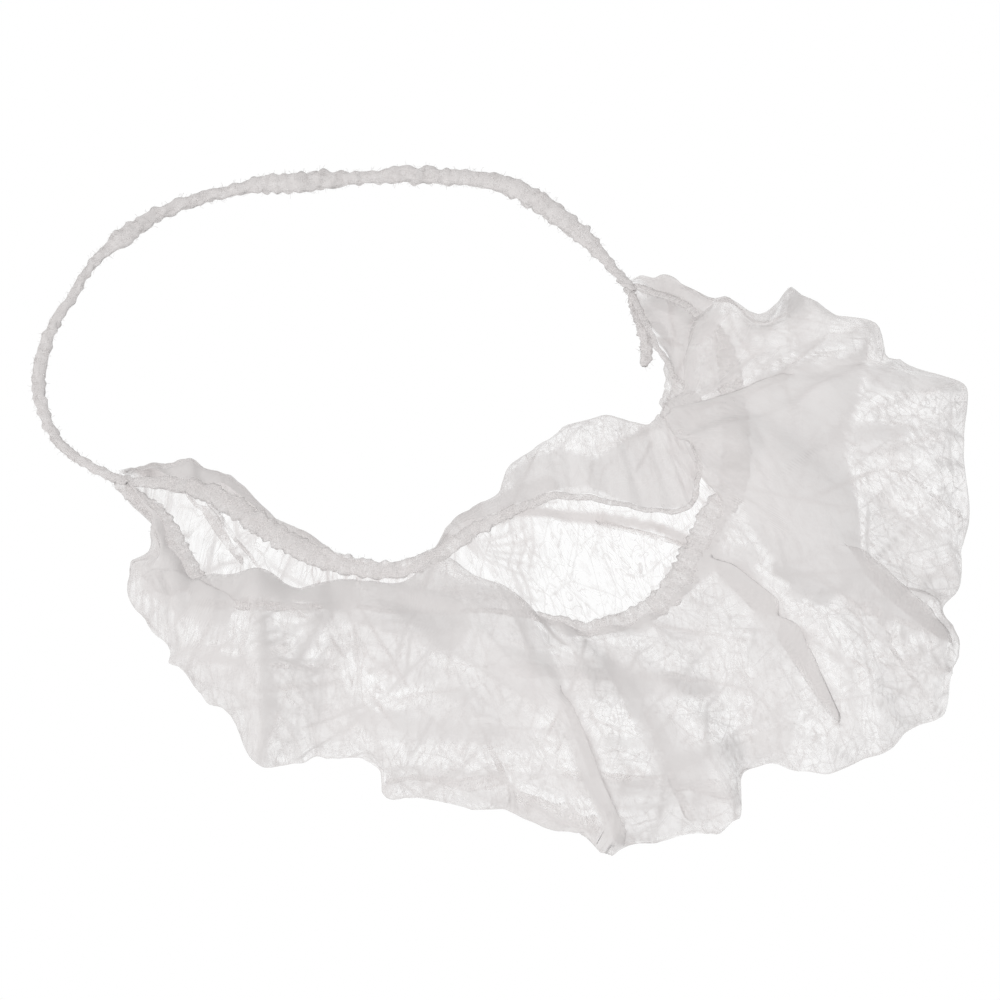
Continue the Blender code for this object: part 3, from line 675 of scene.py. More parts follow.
# Facets, where several layers lie on each other, or less than 0 where they part and the light comes
# through. Columns: how much denser, the part, then the corners, clockwise as they show.
FACETS = (
    # left end
    (0.72, TOP, (133, 562), (165, 556), (205, 580), (242, 598), (232, 622), (200, 624), (145, 592)),
    (0.55, TOP, (203, 586), (240, 569), (280, 566), (345, 586), (345, 604), (290, 602), (215, 604)),
    (0.55, TOP, (198, 608), (236, 606), (232, 638), (205, 642)),
    (0.28, TOP, (163, 630), (205, 640), (262, 668), (262, 764), (190, 702)),
    (0.24, TOP, (270, 668), (345, 664), (372, 706), (300, 758), (272, 758)),
    (0.50, TOP, (352, 708), (470, 700), (500, 716), (520, 742), (372, 736)),
    (0.26, TOP, (390, 768), (500, 764), (520, 800), (392, 796)),
    (0.30, TOP, (345, 735), (398, 745), (388, 792), (372, 768), (345, 757)),
    # middle
    (0.55, TOP, (345, 590), (430, 572), (530, 596), (548, 640), (584, 690), (560, 706), (496, 690),
     (430, 640)),
    (0.30, TOP, (440, 640), (500, 690), (580, 706), (560, 728), (470, 712), (400, 660)),
    (0.38, TOP, (530, 604), (600, 626), (640, 650), (700, 664), (704, 684), (580, 676), (545, 640)),
    (0.30, TOP, (610, 668), (668, 690), (700, 760), (668, 762), (630, 702)),
    (0.34, TOP, (500, 768), (735, 776), (735, 796), (560, 792)),
    (0.30, TOP, (622, 800), (735, 796), (728, 826), (612, 848)),
    (0.26, TOP, (500, 796), (540, 800), (608, 838), (600, 846), (540, 826)),
    (0.22, TOP, (640, 625), (700, 590), (742, 560), (742, 690), (705, 690), (660, 660)),
    (0.36, TOP, (747, 562), (790, 640), (798, 700), (785, 742), (747, 764)),
    (0.26, TOP, (650, 756), (700, 738), (790, 738), (785, 762), (740, 776), (660, 776)),
    (0.30, TOP, (826, 640), (850, 660), (858, 745), (830, 768), (836, 716)),
    # right end
    (0.76, TOP, (668, 408), (871, 338), (863, 372), (850, 432), (736, 500), (700, 457)),
    (0.74, TOP, (852, 424), (858, 520), (868, 572), (820, 606), (748, 560), (736, 498)),
    (0.62, TOP, (503, 480), (530, 458), (560, 447), (596, 459), (590, 486), (530, 492)),
    (0.64, TOP, (590, 458), (640, 430), (668, 412), (736, 498), (716, 508), (640, 508), (586, 486)),
    (0.75, BOTH, (628, 280), (645, 271), (668, 274), (696, 287), (724, 322), (700, 346), (672, 346),
     (645, 324)),
    (0.76, BOTH, (655, 338), (674, 336), (700, 354), (690, 386), (672, 380)),
    (0.34, TOP, (700, 345), (735, 318), (786, 322), (792, 364), (712, 386), (668, 402)),
    (0.42, TOP, (787, 292), (801, 290), (834, 312), (822, 346), (795, 352)),
    (0.40, TOP, (855, 424), (908, 411), (936, 420), (900, 437), (850, 472)),
    (0.34, TOP, (868, 362), (900, 360), (968, 384), (870, 392)),
    (0.46, TOP, (820, 540), (868, 560), (945, 628), (940, 644), (900, 630), (840, 590)),
    (0.26, TOP, (862, 562), (950, 560), (950, 612)),
    (0.30, TOP, (868, 660), (900, 650), (945, 650), (935, 705), (875, 752)),
    (0.34, TOP, (455, 560), (500, 552), (530, 596), (470, 590)),
    (0.30, TOP, (700, 560), (745, 556), (752, 600), (735, 620)),
    (0.30, TOP, (240, 668), (262, 668), (262, 764), (248, 752)),
    (0.24, TOP, (296, 664), (345, 670), (372, 710), (345, 757), (318, 757)),
    (0.30, TOP, (262, 612), (278, 612), (286, 700), (264, 764), (256, 700)),
    (0.34, TOP, (345, 604), (372, 612), (440, 660), (440, 676), (392, 690), (362, 660)),
    (0.24, TOP, (206, 642), (245, 660), (236, 700), (205, 680)),
    (0.30, TOP, (588, 690), (606, 772), (622, 845), (606, 840), (574, 760)),
    (0.24, TOP, (690, 700), (705, 700), (712, 826), (694, 824)),
    (0.26, TOP, (868, 560), (905, 590), (880, 640), (846, 640), (835, 610)),
    (0.22, TOP, (868, 500), (930, 524), (950, 560), (880, 556)),
    (0.30, TOP, (735, 318), (786, 300), (786, 322), (745, 345)),
    # light
    (-0.75, BOTH, (722, 520), (740, 512), (772, 556), (768, 572), (742, 556), (724, 540)),
    (-0.75, BOTH, (752, 562), (784, 588), (790, 604), (764, 590)),
    (-0.90, BOTH, (585, 722), (632, 702), (656, 756), (606, 772)),
    (-0.80, BOTH, (542, 634), (572, 644), (572, 662), (556, 660)),
    (-0.60, BOTH, (566, 688), (610, 684), (628, 700), (585, 718)),
    (-0.85, BOTH, (345, 657), (362, 660), (390, 692), (370, 704), (341, 680)),
    (-0.85, BOTH, (376, 702), (392, 690), (440, 676), (436, 688)),
    (-0.70, BOTH, (288, 624), (328, 618), (342, 632), (322, 654), (290, 650)),
    (-0.70, BOTH, (238, 606), (256, 608), (256, 650), (236, 640)),
    (-0.60, BOTH, (275, 612), (300, 608), (290, 640), (275, 650)),
    (-0.60, BOTH, (470, 745), (514, 730), (522, 752), (482, 762)),
    (-0.60, BOTH, (400, 750), (464, 752), (464, 764), (405, 765)),
    (-0.50, BOTH, (790, 690), (828, 704), (826, 746), (788, 738)),
    (-0.50, BOTH, (500, 732), (562, 732), (580, 764), (516, 768)),
    (-0.70, BOTH, (808, 350), (868, 334), (856, 354), (812, 366)),
    (-0.60, BOTH, (862, 396), (952, 394), (930, 420), (905, 428), (858, 420)),
    (-0.60, BOTH, (866, 458), (950, 466), (954, 500), (925, 508), (905, 500), (880, 480)),
    (-0.50, BOTH, (690, 610), (738, 586), (738, 650), (706, 640)),
)
# Where the outline is drawn in or out. Columns: the place, the reach, and the shift across and down.
OUTLINE_PULLS = (
    # left end
    (135, 477, 26, 0, -10),
    (165, 470, 20, 0, -7),
    (240, 496, 40, 0, -14),
    (290, 530, 36, 0, -8),
    (332, 558, 36, 0, -12),
    (385, 566, 34, 0, -8),
    (138, 536, 30, 13, 0),
    (143, 550, 13, 8, 3),
    (131, 562, 10, -5, -2),
    (170, 632, 12, 7, 0),
    (160, 618, 12, -5, 3),
    (205, 706, 10, -4, 4),
    (318, 760, 10, 0, -5),
    (940, 610, 14, -7, 0),
    (962, 638, 12, 5, 0),
    (958, 668, 12, -5, 0),
    (163, 642, 26, 4, 12),
    (226, 727, 36, 10, -8),
    (290, 770, 46, 0, -8),
    (345, 770, 34, 0, -9),
    (364, 770, 20, 2, -8),
    (378, 782, 14, 5, -7),
    (414, 816, 52, 0, -20),
    # middle
    (442, 548, 36, 0, -15),
    (476, 512, 28, 0, -8),
    (520, 812, 16, 0, 4),
    (625, 857, 26, 0, -10),
    (690, 848, 60, 0, -13),
    (738, 838, 20, -4, -14),
    (768, 768, 20, 0, -6),
    # right end
    (640, 283, 14, 0, -8),
    (650, 364, 20, 12, 0),
    (654, 386, 16, 9, 0),
    (728, 305, 22, 0, -9),
    (642, 312, 22, -6, 0),
    (762, 290, 32, 0, 24),
    (790, 286, 12, 0, -10),
    (815, 307, 20, 0, -9),
    (888, 343, 18, -4, 14),
    (975, 445, 70, -12, 0),
    (948, 588, 34, 13, 0),
    (955, 690, 24, -5, -12),
    (860, 770, 34, 0, -11),
)
# Where the cloth is thinner all round. Columns: the place, the reach, the change, the part.
COVER_SPOTS = (
    (612, 566, 100, -0.17, BOTTOM),
    (215, 540, 70, -0.06, BOTTOM),
    (728, 300, 26, -0.07, BOTH),
    (905, 405, 44, -0.11, TOP),
    (915, 480, 60, -0.10, TOP),
    (388, 678, 50, -0.08, TOP),
    (620, 722, 44, -0.07, TOP),
    (580, 425, 60, -0.06, TOP),
)
# Course of the loose end of the elastic. Columns: the place, the height above the table in metres, and
# the breadth.
TAIL_COURSE = (
    (632, 291, 0.0168, 9),
    (637, 306, 0.0160, 11),
    (643, 326, 0.0155, 11),
    (648, 348, 0.0140, 12),
    (645, 366, 0.0125, 11),
)
# Course of the strap from its left end, between the joints. Columns as above.
STRAP_COURSE = (
    (90, 466, 0.0090, 9),
    (60, 445, 0.0055, 9),
    (42, 415, 0.0030, 10),
    (35, 385, 0.0030, 12),
    (38, 355, 0.0030, 12),
    (50, 320, 0.0030, 10),
    (68, 292, 0.0030, 9),
    (81, 268, 0.0030, 8),
    (102, 245, 0.0030, 11),
    (115, 235, 0.0040, 20),
    (127, 225, 0.0040, 17),
    (150, 210, 0.0030, 13),
    (190, 194, 0.0030, 13),
    (238, 182, 0.0030, 12),
    (258, 178, 0.0035, 19),
    (290, 177, 0.0040, 21),
    (318, 174, 0.0035, 20),
    (348, 172, 0.0035, 14),
    (368, 171, 0.0030, 13),
    (400, 168, 0.0035, 19),
    (440, 170, 0.0035, 17),
    (480, 173, 0.0035, 17),
    (510, 180, 0.0035, 19),
    (536, 194, 0.0035, 20),
    (562, 213, 0.0040, 19),
    (586, 233, 0.0050, 17),
    (600, 248, 0.0062, 12),
    (615, 266, 0.0080, 9),
)
# How far the strap reaches into the cloth at its ends, in metres, and its breadth there
STRAP_TUCK = 0.0050
STRAP_END_BREADTH = 10
# Thickness of the strap as a share of its breadth, and the share of its breadth that shows from the front
STRAP_FLATNESS = 0.55
STRAP_SEEN = 0.88
# Thickness of the loose end as a share of its breadth, and its gather pitch in metres
TAIL_FLATNESS = 0.7
TAIL_PITCH = 0.0016

# How broad each gathered edge is, evenly from its left end to its right end, as a share of Rim width
RIM_BACK_BREADTHS = (0.6, 1.4, 1.7, 1.6, 1.3, 1.0, 0.6, 0.38, 0.36, 0.36, 0.36, 0.4, 0.5)
RIM_FRONT_BREADTHS = (0.8, 1.6, 1.5, 0.5, 0.35, 0.4, 1.2, 1.9, 1.9, 1.7, 1.2, 0.7, 0.6)
# Thickness of a gathered edge as a share of its breadth, and how much of its half breadth may lie between
# its middle and the cloth, so that a narrow edge is drawn to the cloth
RIM_FLATNESS = 0.32
RIM_TOUCH = 0.8

# How squarely a place has to face the viewer to show, from not at all to in full
EDGE_ON, FACE_ON = 0.10, 0.40
# Slide along the sheet: its steps, how far each may go as a share of the shift, and the least area of a
# cell in the view that it reckons with
SLIDE_STEPS = 4
SLIDE_REACH = 1.3
LEAST_AREA = 2e-6
# Rows and stations by which the sheet is held at its rims and ends, where no pleat is folded
HELD_ROWS, HELD_STATIONS = 0.8, 2.0
# Pleats: how far they fade past their ends, as a share of their breadth and then of their length, how far
# from their middle the cloth is drawn in, how strongly, and how the middle layer lies
PLEAT_FADE, PLEAT_FADES = 0.9, (0.06, 0.30)
PLEAT_REACH, PLEAT_PULL, PLEAT_LIFT = 4.0, 2.2, 0.76
# Softness of the edges of bands and facets, from outside to inside
BAND_EDGE = (-1.2 * PIXEL, 2.0 * PIXEL)
FACET_EDGE = (-0.5 * PIXEL, 1.2 * PIXEL)
# How far past its reach an outline pull still acts, and the middle of a cover spot that changes in full
PULL_SPREAD = 1.15
SPOT_CORE = 0.3

# Random creases over the cloth besides those above, drawn as painted shade: how many, the place that most
# of them point away from, how far they turn off that way, the share that lies across it, and the share on
# the top
STREWN_CREASES = 340
STREWN_SEED = 21
MOUTH = (600.0, 560.0)
STREWN_TURN, STREWN_ACROSS, STREWN_ON_TOP = 0.7, 0.25, 0.6
# Least and most length and breadth, painted shade on one side as of a tilted facet, and painted shade of
# the line
STREWN_LENGTHS, STREWN_BREADTHS = (35.0, 150.0), (4.0, 16.0)
STREWN_SIDE_SHADES, STREWN_LINE_SHADES = (0.0, 0.30), (0.45, 1.0)
# Half breadth of a crease's line in metres
CREASE_HALF = 0.0007

# Crumple all over the cloth: how many creases, how long at most in metres, and how level they run.
# Their lengths and the widths of their slopes are shares of that most length.
CRUMPLE_CREASES = 460
CRUMPLE_REACH = 0.060
CRUMPLE_LEVELNESS = (1.0, 1.0, 0.3)
CRUMPLE_LENGTHS, CRUMPLE_WIDTHS = (0.25, 1.0), (0.10, 0.24)
# Knots on the way before smooth random values repeat
NOISE_KNOTS = 256

# Ends of the cloth at the joints: how much of their size is left, their least height in metres, and the
# shares of the way there at which rows are added
KNOT_SIZE = 0.15
KNOT_HEIGHT = 0.004
KNOT_STEPS = (0.32, 0.64, 0.92)

# Pleats at the rims: knots of their noise along the sheet and across, depth in metres, and how far they
# reach into the sheet as a share of its depth
RIM_PLEATS, RIM_PLEAT_DEPTH, RIM_PLEAT_REACH = (95.0, 2.5), 0.0012, 0.05
# Below this height the crumple only lifts the cloth, and it fades over this share of the sheet at a rim
NEAR_TABLE = 0.012
RIM_HELD = 0.06
# Least height of the cloth and of the gathered bands above the table
CLOTH_LIFT, GATHERED_LIFT = 0.0002, 0.0003

# Cover of the cloth: streaks at rims and ends, clouds in two sizes as amount, scale, slide between layers
# and seed, and the painted shade that the creases' lines add
RIM_STREAKS, END_STREAKS, STREAK_COVER = (210.0, 5.0), (9.0, 150.0), 0.16
CLOUDS = ((0.06, 90, 40, 13), (0.10, 300, 90, 14))
CREASE_SHADE = 0.36
# How much denser the cloth is by the rims, by the ends and seen edge on, and how far each of these goes
RIM_DENSE, RIM_DENSE_REACH = 0.25, 0.04
END_DENSE, END_DENSE_REACH = 0.36, 0.05
EDGE_DENSE, EDGE_DENSE_REACH = 0.55, 0.16
# The cloth isn't denser right at its ends, where the strap's own end is seen through it
END_FADE = 0.025

FABRIC_ROUGHNESS, FABRIC_SHINE = 0.75, 0.15
# Gathered bands: sides, stations for each pitch, and points by which their length is measured
BAND_SIDES, BAND_STATIONS, BAND_SAMPLES = 16, 5, 400
# Waves of wrinkles: how many, their lengths in pitches and their depths, how often they turn round the
# band, and how often they swell and where the first swell starts
BAND_WAVES, BAND_WAVE_LENGTHS, BAND_WAVE_DEPTHS = 14, (1.2, 5.0), (0.4, 1.1)
BAND_TURNS = (-5, -4, -3, -2, -1, 1, 2, 3, 4, 5)
BAND_SWELLS, BAND_SWELL_STARTS = (3, 14), (0, 6)
# Length over which an end is rounded, the size that is left there, and the way round on the band's map
BAND_END, BAND_END_SIZE = 0.003, 0.25
BAND_ROUND = 0.02
# Radius of a loose fibre in metres
FIBRE_RADIUS = 0.00006

# The lamps: how the one above leans, how the bounce shines straight up, and how soft both are
LAMP_TURN = (math.radians(18.0), math.radians(-24.0), 0.0)
BOUNCE_TURN = (math.radians(180.0), 0.0, 0.0)
LAMP_SPREAD = math.radians(40.0)
# The point that the camera looks at, off the model's origin on the table
AIM = (0.00134, 0.0055, 0.0)
# Sensor width in millimetres and the nearest and farthest that is seen in metres, then the see-through
# layers and the bounces of light that are followed
SENSOR_WIDTH = 36.0
NEAR_CLIP, FAR_CLIP = 0.1, 50.0
LAYERS_SEEN, LIGHT_BOUNCES = 64, 2


def smooth(value, low, high):
    """Rises smoothly from 0 at low to 1 at high."""
    share = np.clip((value - low) / (high - low), 0.0, 1.0)
    return share * share * (3.0 - 2.0 * share)


def weights(f):
    """The four weights of a smooth curve through its points, a share f past the second."""
    return (
        0.5 * (-(f**3) + 2 * f**2 - f),
        0.5 * (3 * f**3 - 5 * f**2 + 2),
        0.5 * (-3 * f**3 + 4 * f**2 + f),
        0.5 * (f**3 - f**2),
    )


def on_sheet(grid, a, b):
    """Points of the smooth surface through the grid, at fractional station a and row b."""
    last_a, last_b = grid.shape[0] - 1, grid.shape[1] - 1
    a, b = np.clip(a, 0.0, last_a), np.clip(b, 0.0, last_b)
    i, j = np.minimum(a.astype(int), last_a - 1), np.minimum(b.astype(int), last_b - 1)
    total = 0.0
    for p, wa in enumerate(weights(a - i)):
        for q, wb in enumerate(weights(b - j)):
            corner = grid[np.clip(i + p - 1, 0, last_a), np.clip(j + q - 1, 0, last_b)]
            total = total + (wa * wb)[..., None] * corner
    return total


def in_view(points):
    """Where points show, across and up in metres, seen from the photograph's side."""
    up = math.sin(VIEW_RISE) * points[..., 1] + math.cos(VIEW_RISE) * points[..., 2]
    return np.stack([points[..., 0], up], axis=-1)


def from_photo(across, down):
    """The same place in metres, from its place in the photograph."""
    return np.array([(across - MIDDLE[0]) * PIXEL, (MIDDLE[1] - down) * PIXEL])


def at_height(across, down, height):
    """The point that shows at a place of the photograph and lies so high above the table."""
    right, up = from_photo(across, down)
    return np.array([right, (up - math.cos(VIEW_RISE) * height) / math.sin(VIEW_RISE), height])


def slid(grid, a, b, shift):
    """Sheet coordinates after a slide along the sheet by a shift that is given in the view."""
    pace_a, pace_b = np.gradient(grid, axis=0), np.gradient(grid, axis=1)
    most = SLIDE_REACH * np.linalg.norm(shift, axis=-1) / SLIDE_STEPS
    for _ in range(SLIDE_STEPS):
        along_a, along_b = on_sheet(pace_a, a, b), on_sheet(pace_b, a, b)
        va, vb = in_view(along_a), in_view(along_b)
        area = va[..., 0] * vb[..., 1] - va[..., 1] * vb[..., 0]
        area = np.where(np.abs(area) < LEAST_AREA, np.where(area < 0, -LEAST_AREA, LEAST_AREA), area)
        step_a = (shift[..., 0] * vb[..., 1] - shift[..., 1] * vb[..., 0]) / area / SLIDE_STEPS
        step_b = (va[..., 0] * shift[..., 1] - va[..., 1] * shift[..., 0]) / area / SLIDE_STEPS
        moved = np.linalg.norm(step_a[..., None] * along_a + step_b[..., None] * along_b, axis=-1)
        less = np.minimum(1.0, most / np.maximum(moved, 1e-9))
        a = np.clip(a + less * step_a, 0.0, grid.shape[0] - 1.0)
        b = np.clip(b + less * step_b, 0.0, grid.shape[1] - 1.0)
    return a, b


def to_viewer(outward):
    """How far each place faces the photograph's side, 1 straight at it and -1 straight away."""
    return math.sin(VIEW_RISE) * outward[..., 2] - math.cos(VIEW_RISE) * outward[..., 1]


def on_part(facing, part):
    """1 on the part of the sheet that a fold or spot is on, 0 off it and where it is seen edge on."""
    return smooth(np.abs(facing) if part == BOTH else part * facing, EDGE_ON, FACE_ON)


def folded(grid, a, b, gap):
    """Sheet coordinates drawn into the pleats, and how far each layer lies inwards."""
    guide_grid = np.concatenate([in_view(grid), to_viewer(normals(grid))[..., None]], axis=-1)
    last_a, last_b = grid.shape[0] - 1, grid.shape[1] - 1
    held = smooth(np.minimum(b, last_b - b), 0.0, HELD_ROWS)
    held = held * smooth(np.minimum(a, last_a - a), 0.0, HELD_STATIONS)
    a, b, inward, seen = a.copy(), b.copy(), np.zeros_like(a), on_sheet(guide_grid, a, b)
    for x0, y0, x1, y1, breadth0, breadth1, part in PLEATS:
        start, end = from_photo(x0, y0), from_photo(x1, y1)
        length = np.linalg.norm(end - start)
        way = (end - start) / length
        place = seen[..., :2] - start
        share = place @ way / length
        breadth = PIXEL * (breadth0 + (breadth1 - breadth0) * np.clip(share, 0.0, 1.0))
        off = (place[..., 1] * way[0] - place[..., 0] * way[1]) / breadth
        fade = np.clip(PLEAT_FADE * breadth / length, *PLEAT_FADES)
        taper = held * smooth(share, -fade, fade) * smooth(1.0 - share, -fade, fade)
        taper *= on_part(seen[..., 2], part)
        near = (np.abs(off) < PLEAT_REACH) & (taper > 1e-4)
        off, taper, breadth = off[near], taper[near], breadth[near]
        pull = -PLEAT_PULL * off * np.exp(-0.5 * off**2) * breadth * taper
        a[near], b[near] = slid(grid, a[near], b[near], pull[:, None] * np.array([-way[1], way[0]]))
        seen[near] = on_sheet(guide_grid, a[near], b[near])
        layers = off * np.exp(-(off**2) / 3) + PLEAT_LIFT * np.exp(-(off**2) / 6)
        inward[near] += gap * taper * layers
    return a, b, inward


def bunched(shown, facing):
    """Share of each place that is filled, where the cloth is bunched or lies in facets, with painted shade
    where it is creased and painted highlight lines along fold edges.
    """
    bands = np.ones(shown.shape[:2])
    # Bands of bunched cloth, lines of painted crease shade, and painted highlight lines where the amount is
    # below 0
    for x0, y0, x1, y1, breadth0, breadth1, amount, part in BUNCHED:
        start = from_photo(x0, y0)
        share, away = beside(shown, start, from_photo(x1, y1) - start)
        half = 0.5 * PIXEL * (breadth0 + (breadth1 - breadth0) * share)
        bands *= 1.0 - amount * (smooth(half - away, *BAND_EDGE) * on_part(facing, part))
    bands = np.minimum(bands, 1.0)
    # Painted shade of the strewn creases and of one side of each
    facets = strewn_shade(shown, facing)
    light = np.ones_like(facets)
    for amount, part, *corners in FACETS:
        inside = smooth(inside_facet(shown, corners), *FACET_EDGE) * on_part(facing, part)
        if amount > 0.0:
            facets *= 1.0 - amount * inside
        else:
            light *= 1.0 + amount * inside
    return 1.0 - (1.0 - (1.0 - facets) * light) * bands


def inside_facet(shown, corners):
    """How far inside a facet each place lies, in metres, less than 0 outside it."""
    points = np.array([from_photo(*corner) for corner in corners])
    depth = np.full(shown.shape[:2], np.inf)
    for here, after in zip(points, np.roll(points, -1, axis=0)):
        way = (after - here) / np.linalg.norm(after - here)
        depth = np.minimum(depth, (shown[..., 0] - here[0]) * way[1] - (shown[..., 1] - here[1]) * way[0])
    return depth


def strewn_shade(shown, facing):
    """Share left open by painted shade of long thin random creases: a dark line, and one side a little
    darker as a tilted facet is shaded.
    """
    rng = np.random.default_rng(STREWN_SEED)
    open_share = np.ones(shown.shape[:2])
    mouth = from_photo(*MOUTH)
    rows, across = shown.shape[:2]
    for _ in range(STREWN_CREASES):
        start = shown[rng.integers(rows), rng.integers(across)]
        outward = (start - mouth) / np.linalg.norm(start - mouth)
        turn = rng.normal() * STREWN_TURN + (math.pi / 2 if rng.random() < STREWN_ACROSS else 0.0)
        way = np.array([
            outward[0] * math.cos(turn) - outward[1] * math.sin(turn),
            outward[0] * math.sin(turn) + outward[1] * math.cos(turn),
        ])
        length = PIXEL * rng.uniform(*STREWN_LENGTHS)
        breadth = PIXEL * rng.uniform(*STREWN_BREADTHS) * rng.choice([-1.0, 1.0])
        amount = rng.uniform(*STREWN_SIDE_SHADES)
        part = TOP if rng.random() < STREWN_ON_TOP else BOTTOM
        share = (shown - start) @ way / length
        off = (shown[..., 0] - start[0]) * way[1] - (shown[..., 1] - start[1]) * way[0]
        # Painted shade: body darkens one side of the crease as on a tilted facet, line darkens the crease
        # itself
        body = smooth(off / breadth, -0.02, 0.10) * smooth(1.0 - off / breadth, 0.0, 1.0)
        line = np.clip(1.6 - np.abs(off) / CREASE_HALF, 0.0, 1.0) * rng.uniform(*STREWN_LINE_SHADES)
        ends = smooth(share, 0.0, 0.10) * smooth(1.0 - share, 0.0, 0.20)
        open_share *= 1.0 - ends * np.maximum(amount * body, line) * on_part(facing, part)
    return open_share


def away_from(shown, across, down, reach):
    """Distance from a place of the photograph, as a share of a reach."""
    return np.linalg.norm(shown - from_photo(across, down), axis=-1) / (reach * PIXEL)


def outline_drawn(points, shown):
    """The sheet with its outline drawn in and out, level with the table."""
    across, along_view = np.zeros(shown.shape[:2]), np.zeros(shown.shape[:2])
    for x, y, reach, right, down in OUTLINE_PULLS:
        share = np.clip(PULL_SPREAD - away_from(shown, x, y, reach), 0.0, 1.0)
        across += right * PIXEL * share
        along_view -= down * PIXEL * share
    return points + np.stack([across, along_view / math.sin(VIEW_RISE), np.zeros_like(across)], axis=-1)


def cover_spots(shown, facing):
    """How much denser the cloth is at each place."""
    total = np.zeros(shown.shape[:2])
    for x, y, reach, change, part in COVER_SPOTS:
        edge = smooth(away_from(shown, x, y, reach), SPOT_CORE, 1.0)
        total += change * on_part(facing, part) * (1.0 - edge)
    return total


def with_ends(grid):
    """The sheet with both ends drawn together to the joints, where the strap is sewn on."""
    rows = []
    for end, row in ((0, grid[0]), (1, grid[-1])):
        place, _ = joint(end)
        knot = place + KNOT_SIZE * (row - row.mean(axis=0))
        knot[:, 2] = np.maximum(knot[:, 2], KNOT_HEIGHT)
        rows.append([row + share * (knot - row) for share in KNOT_STEPS])
    return np.concatenate([np.array(rows[0][::-1]), grid, np.array(rows[1])])


def value_noise(u, v, seed):
    """Smooth random values from -1 to 1 over a plane, one knot for each unit."""
    rng = np.random.default_rng(seed)
    knots = rng.uniform(-1.0, 1.0, size=(NOISE_KNOTS + 1, NOISE_KNOTS + 1))
    i, j = np.floor(u).astype(int) % NOISE_KNOTS, np.floor(v).astype(int) % NOISE_KNOTS
    fu, fv = u - np.floor(u), v - np.floor(v)
    fu, fv = fu * fu * (3 - 2 * fu), fv * fv * (3 - 2 * fv)
    low = knots[i, j] * (1 - fu) + knots[i + 1, j] * fu
    high = knots[i, j + 1] * (1 - fu) + knots[i + 1, j + 1] * fu
    return low * (1 - fv) + high * fv


def crumple(points, seed, depth):
    """Heights of shallow ridges and dents along random straight creases, and the creases' own lines, which
    are drawn as painted shade.
    """
    rng = np.random.default_rng(seed)
    flat = points.reshape(-1, 3)
    height, line = np.zeros(len(flat)), np.zeros(len(flat))
    for start in flat[rng.integers(len(flat), size=CRUMPLE_CREASES)]:
        way = rng.normal(size=3) * CRUMPLE_LEVELNESS
        run = way / np.linalg.norm(way) * rng.uniform(*CRUMPLE_LENGTHS) * CRUMPLE_REACH
        _, away = beside(flat, start, run)
        width = rng.uniform(*CRUMPLE_WIDTHS) * CRUMPLE_REACH
        height += rng.uniform(-1.0, 1.0) * depth * np.clip(1.0 - away / width, 0.0, 1.0)
        line = np.maximum(line, rng.uniform(0.1, 1.0) * np.clip(1.8 - away / CREASE_HALF, 0.0, 1.0))
    return height.reshape(points.shape[:2]), line.reshape(points.shape[:2])


def made_mesh(name, points, faces, surface):
    """A piece of one smooth mesh."""
    mesh = bpy.data.meshes.new(name)
    mesh.from_pydata(np.reshape(points, (-1, 3)).tolist(), [], faces)
    mesh.materials.append(surface)
    mesh.shade_smooth()
    piece = bpy.data.objects.new(name, mesh)
    bpy.context.scene.collection.objects.link(piece)
    return piece


def attribute(piece, label, values):
    """A float for each point of a piece, which its material reads."""
    made = piece.data.attributes.new(label, "FLOAT", "POINT")
    made.data.foreach_set("value", np.ravel(values).astype(np.float32))


def cloth_map(piece, u, v):
    """A UV map that follows the cloth."""
    layer = piece.data.uv_layers.new(name="cloth")
    corner = np.empty(len(piece.data.loops), dtype=np.int64)
    piece.data.loops.foreach_get("vertex_index", corner)
    both = np.stack([np.ravel(u)[corner], np.ravel(v)[corner]], axis=1)
    layer.data.foreach_set("uv", np.ravel(both).astype(np.float32))


def quads(rows, across, closed=False):
    """Faces of a grid of points, joined round each row when closed."""
    faces = []
    for i in range(rows - 1):
        for j in range(across if closed else across - 1):
            beyond = (j + 1) % across
            here, after = i * across, (i + 1) * across
            faces.append((here + j, after + j, after + beyond, here + beyond))
    return faces


